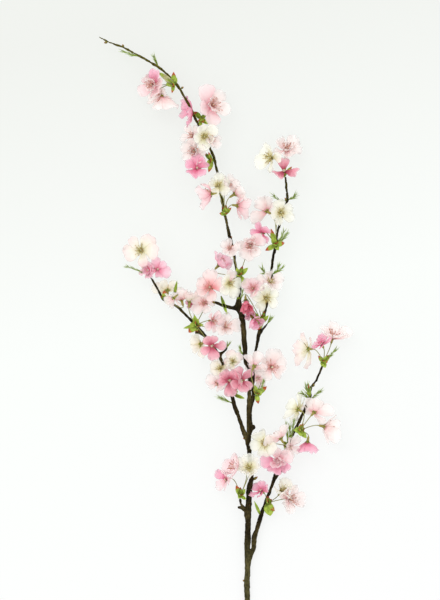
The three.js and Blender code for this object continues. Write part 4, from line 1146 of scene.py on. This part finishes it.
def makeBractLeaf(bud, tipColumn, tipRow, width, lift, look):
    form, surface = look.split()
    way = place(tipColumn, tipRow, bud.z / mm + lift) - bud
    turn = math.atan2(way.y, way.x)
    climb = math.atan2(way.z, math.hypot(way.x, way.y))
    wide = width * crown["wide"] * layout["step"] * mm
    matrix = (Matrix.Translation(bud) @ Matrix.Rotation(turn, 4, "Z")
              @ Matrix.Rotation(-climb, 4, "Y")
              @ Matrix.Diagonal((way.length, wide, way.length, 1)))
    return copyOf(leaves[form], matrix, [leafSurfaces[surface]])


# radii and width in mm; leaflets start at a share of the stem and spread by a share of its way
shoot = {"root": 0.9, "end": 0.35, "from": 0.1, "spread": (0.02, 0.45), "lift": (-0.05, 0.2),
         "wide": 1.05, "more": 2.8, "long": 1.25, "longBy": (0.7, 1.25), "flat": 0.6,
         "onBud": (7, 8)}  # leaflets, and their length in mm


def makeShoot(points, leaflets, length):
    # a thin stem with narrow leaflets that lie close along it and stand past its end
    last = len(points) - 1
    radii = [(shoot["root"] + (shoot["end"] - shoot["root"]) * index / last) * mm
             for index in range(last + 1)]
    parts = [makeTube(points, radii, leafSurfaces["shoot"])]
    leaflets = round(leaflets * shoot["more"])
    for index in range(leaflets):
        share = (shoot["from"] + (1 - shoot["from"]) * index / leaflets) * last
        step = min(int(share), last - 1)
        at = points[step].lerp(points[step + 1], share - step)
        way = (points[step + 1] - points[step]).normalized()
        side = Vector((0, 0, 1)).cross(way).normalized() * (1 if index % 2 else -1)
        lean = way + side * dice.uniform(*shoot["spread"])
        lean += Vector((0, 0, dice.uniform(*shoot["lift"])))
        size = length * shoot["long"] * mm * dice.uniform(*shoot["longBy"])
        parts.append(copyOf(needleModel, (
            Matrix.Translation(at) @ turnTo(Vector((1, 0, 0)), lean.normalized())
            @ Matrix.Diagonal((size, shoot["wide"] * mm, size * shoot["flat"], 1)))))
    return parts


def makeCrown(bud, radius, names):
    # short bracts round the bud, opening towards the blooms
    way = sum((bloomFrame(name)["heart"] - bud for name in names), Vector())
    way = (way.normalized() + Vector((0, 0, crown["rise"]))).normalized()
    aim = (Matrix.Translation(bud - way * radius * crown["seat"])
           @ turnTo(Vector((0, 0, 1)), way))
    parts = []
    for index, look in enumerate(crown["looks"]):
        turn = index * 2 * math.pi / len(crown["looks"]) + crown["turn"]
        tilt = crown["open"] + dice.uniform(-crown["openBy"], crown["openBy"])
        length = radius * crown["length"]
        reach = length * dice.uniform(1 - crown["sizeBy"], 1 + crown["sizeBy"])
        matrix = (aim @ Matrix.Rotation(turn, 4, "Z") @ Matrix.Rotation(-math.pi / 2 + tilt, 4, "Y")
                  @ Matrix.Diagonal((reach, radius * crown["width"], length, 1)))
        parts.append(copyOf(leaves["broad"], matrix, [leafSurfaces[look]]))
    return parts


def makeCluster(name, shape):
    bud = place(*shape["bud"])
    radius = shape["radius"] * mm
    names = shape["blooms"].split()
    parts = makeCrown(bud, radius, names)
    for bloom in names:
        parts += makeCalyx(bloom)
        parts.append(makeFlowerStalk(bloom, bud, radius))
    for leaf in shape["leaves"]:
        parts.append(makeBractLeaf(bud, *leaf))
    for line in shape.get("shoots", ()):
        parts += makeShoot([bud] + [place(*point) for point in line], *shoot["onBud"])
    return joinAll(parts, "bunch_" + name)


for name, shape in clusters.items():
    settle(makeCluster(name, shape), "leaf", "bracts_" + name)
print("clusters ready")


# heights at both ends, leaflets, their length in mm, then column and row
loneShoots = [
    (26, 27, 7, 8, [(141.2, 56.5), (134.8, 55.4), (129, 53.6), (123, 51.2)]),
    (26, 29, 6, 8, [(158.5, 66.9), (156.2, 62.3), (154.3, 57.5)]),
    (28, 31, 4, 6, [(239, 303), (242.1, 295.4), (243, 290.5)]),
    (28, 33, 6, 8, [(271.5, 274.8), (276.9, 270.6), (278.6, 266.5)]),
    (28, 33, 5, 8, [(272, 274.4), (279, 271), (282.5, 267.5)]),
    (28, 31, 6, 8, [(270.8, 274.2), (264.8, 273.5), (262.4, 268.5)]),
    (28, 29, 5, 8, [(243.9, 356), (241.4, 352), (240.4, 348.5)]),
    (21, 26, 6, 9, [(310, 399), (309.4, 394), (309.2, 390.5)]),
    (21, 25, 6, 8, [(310, 400), (305.5, 396), (303.2, 394)]),
    (21, 28, 6, 9, [(309.7, 399), (307, 391), (306.7, 386)]),
    (21, 28, 6, 9, [(310, 400), (316.5, 394.6), (320, 392)]),
    (28, 33, 6, 9, [(287.6, 200), (291.4, 198.4), (293.6, 196.5)]),
    (28, 36, 5, 8, [(287.6, 200.5), (280.5, 201), (276, 198.6), (273.6, 196)]),
    (24, 25.2, 8, 9, [(231.7, 403), (226.5, 400.6), (221.5, 398.4)]),
    (25.2, 26, 6, 8, [(226.6, 348.5), (227.6, 346)]),
    (27.6, 28, 6, 8, [(267.1, 324.2), (269, 321), (270, 319.5)]),
]
woodBuds = [  # column, row, height, length and width in mm, direction in degrees
    (107.5, 41.6, 25, 6, 4, 200), (123.5, 46.8, 25.4, 4.6, 3.6, 115), (181, 88.5, 25.8, 5, 3.4, 35),
    (199.5, 122, 27, 5, 3, 40), (313.6, 387, 20.6, 6, 3.2, 80), (286.6, 201, 28, 6, 3, 120),
    (210.5, 141.5, 27, 5, 3, 60), (230.3, 239, 27.5, 5, 3.4, 60), (276, 476.5, 12, 6, 3.4, 60),
    (216.5, 303, 30.2, 8, 4, 165), (253.2, 480.6, 14, 9, 4.4, 35), (246.6, 439, 22, 6, 4, 170),
    (245.3, 583.5, 4.6, 4.4, 3.6, 150),
]
# foot (column, row, height), then the tip, width, lift and look as for the bracts
loneLeaves = [
    ((221, 296, 29), (227.6, 316, 2.8, 1, "curled green")),
    ((174.2, 296, 26), (177.2, 280, 2.6, 4, "narrow green")),
    ((239.6, 301, 30), (236.8, 295.6, 2.8, 2, "narrow dark")),
    ((309.6, 398, 23), (308.6, 383.5, 3, 5, "narrow tipped")),
    ((262.4, 317.5, 30), (264.6, 311.5, 3, 2, "narrow dark")),
    ((260.8, 516.5, 12), (254.2, 501.5, 2.6, 1, "narrow green")),
]


woodBud = {"turns": (0, 2.1, 4.2), "tilt": -0.25, "overlap": 0.1}  # its scales


def makeWoodBud(column, row, height, length, width, degrees):
    matrix = (Matrix.Translation(place(column, row, height))
              @ Matrix.Rotation(math.radians(degrees), 4, "Z")
              @ Matrix.Rotation(woodBud["tilt"], 4, "Y"))
    return [copyOf(leaves["narrow"], matrix @ Matrix.Rotation(turn, 4, "X")
                   @ Matrix.Translation((0, 0, -woodBud["overlap"] * width * mm))
                   @ Matrix.Diagonal((length * mm, width * mm, length * mm, 1)),
                   [leafSurfaces["bud"]]) for turn in woodBud["turns"]]


shootParts = []
for low, high, leaflets, length, line in loneShoots:
    last = len(line) - 1
    points = [place(column, row, low + (high - low) * index / last)
              for index, (column, row) in enumerate(line)]
    shootParts += makeShoot(points, leaflets, length)
for numbers in woodBuds:
    shootParts += makeWoodBud(*numbers)
for foot, leaf in loneLeaves:
    shootParts.append(makeBractLeaf(place(*foot), *leaf))
settle(joinAll(shootParts, "shoots"), "leaf")
print("shoots ready")

woodPiece = makeWood()
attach(woodPiece, "root")
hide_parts("wood")
print("wood ready", len(woodPiece.data.polygons))

deselect()
for model in models:
    model.select_set(True)
bpy.ops.object.delete()
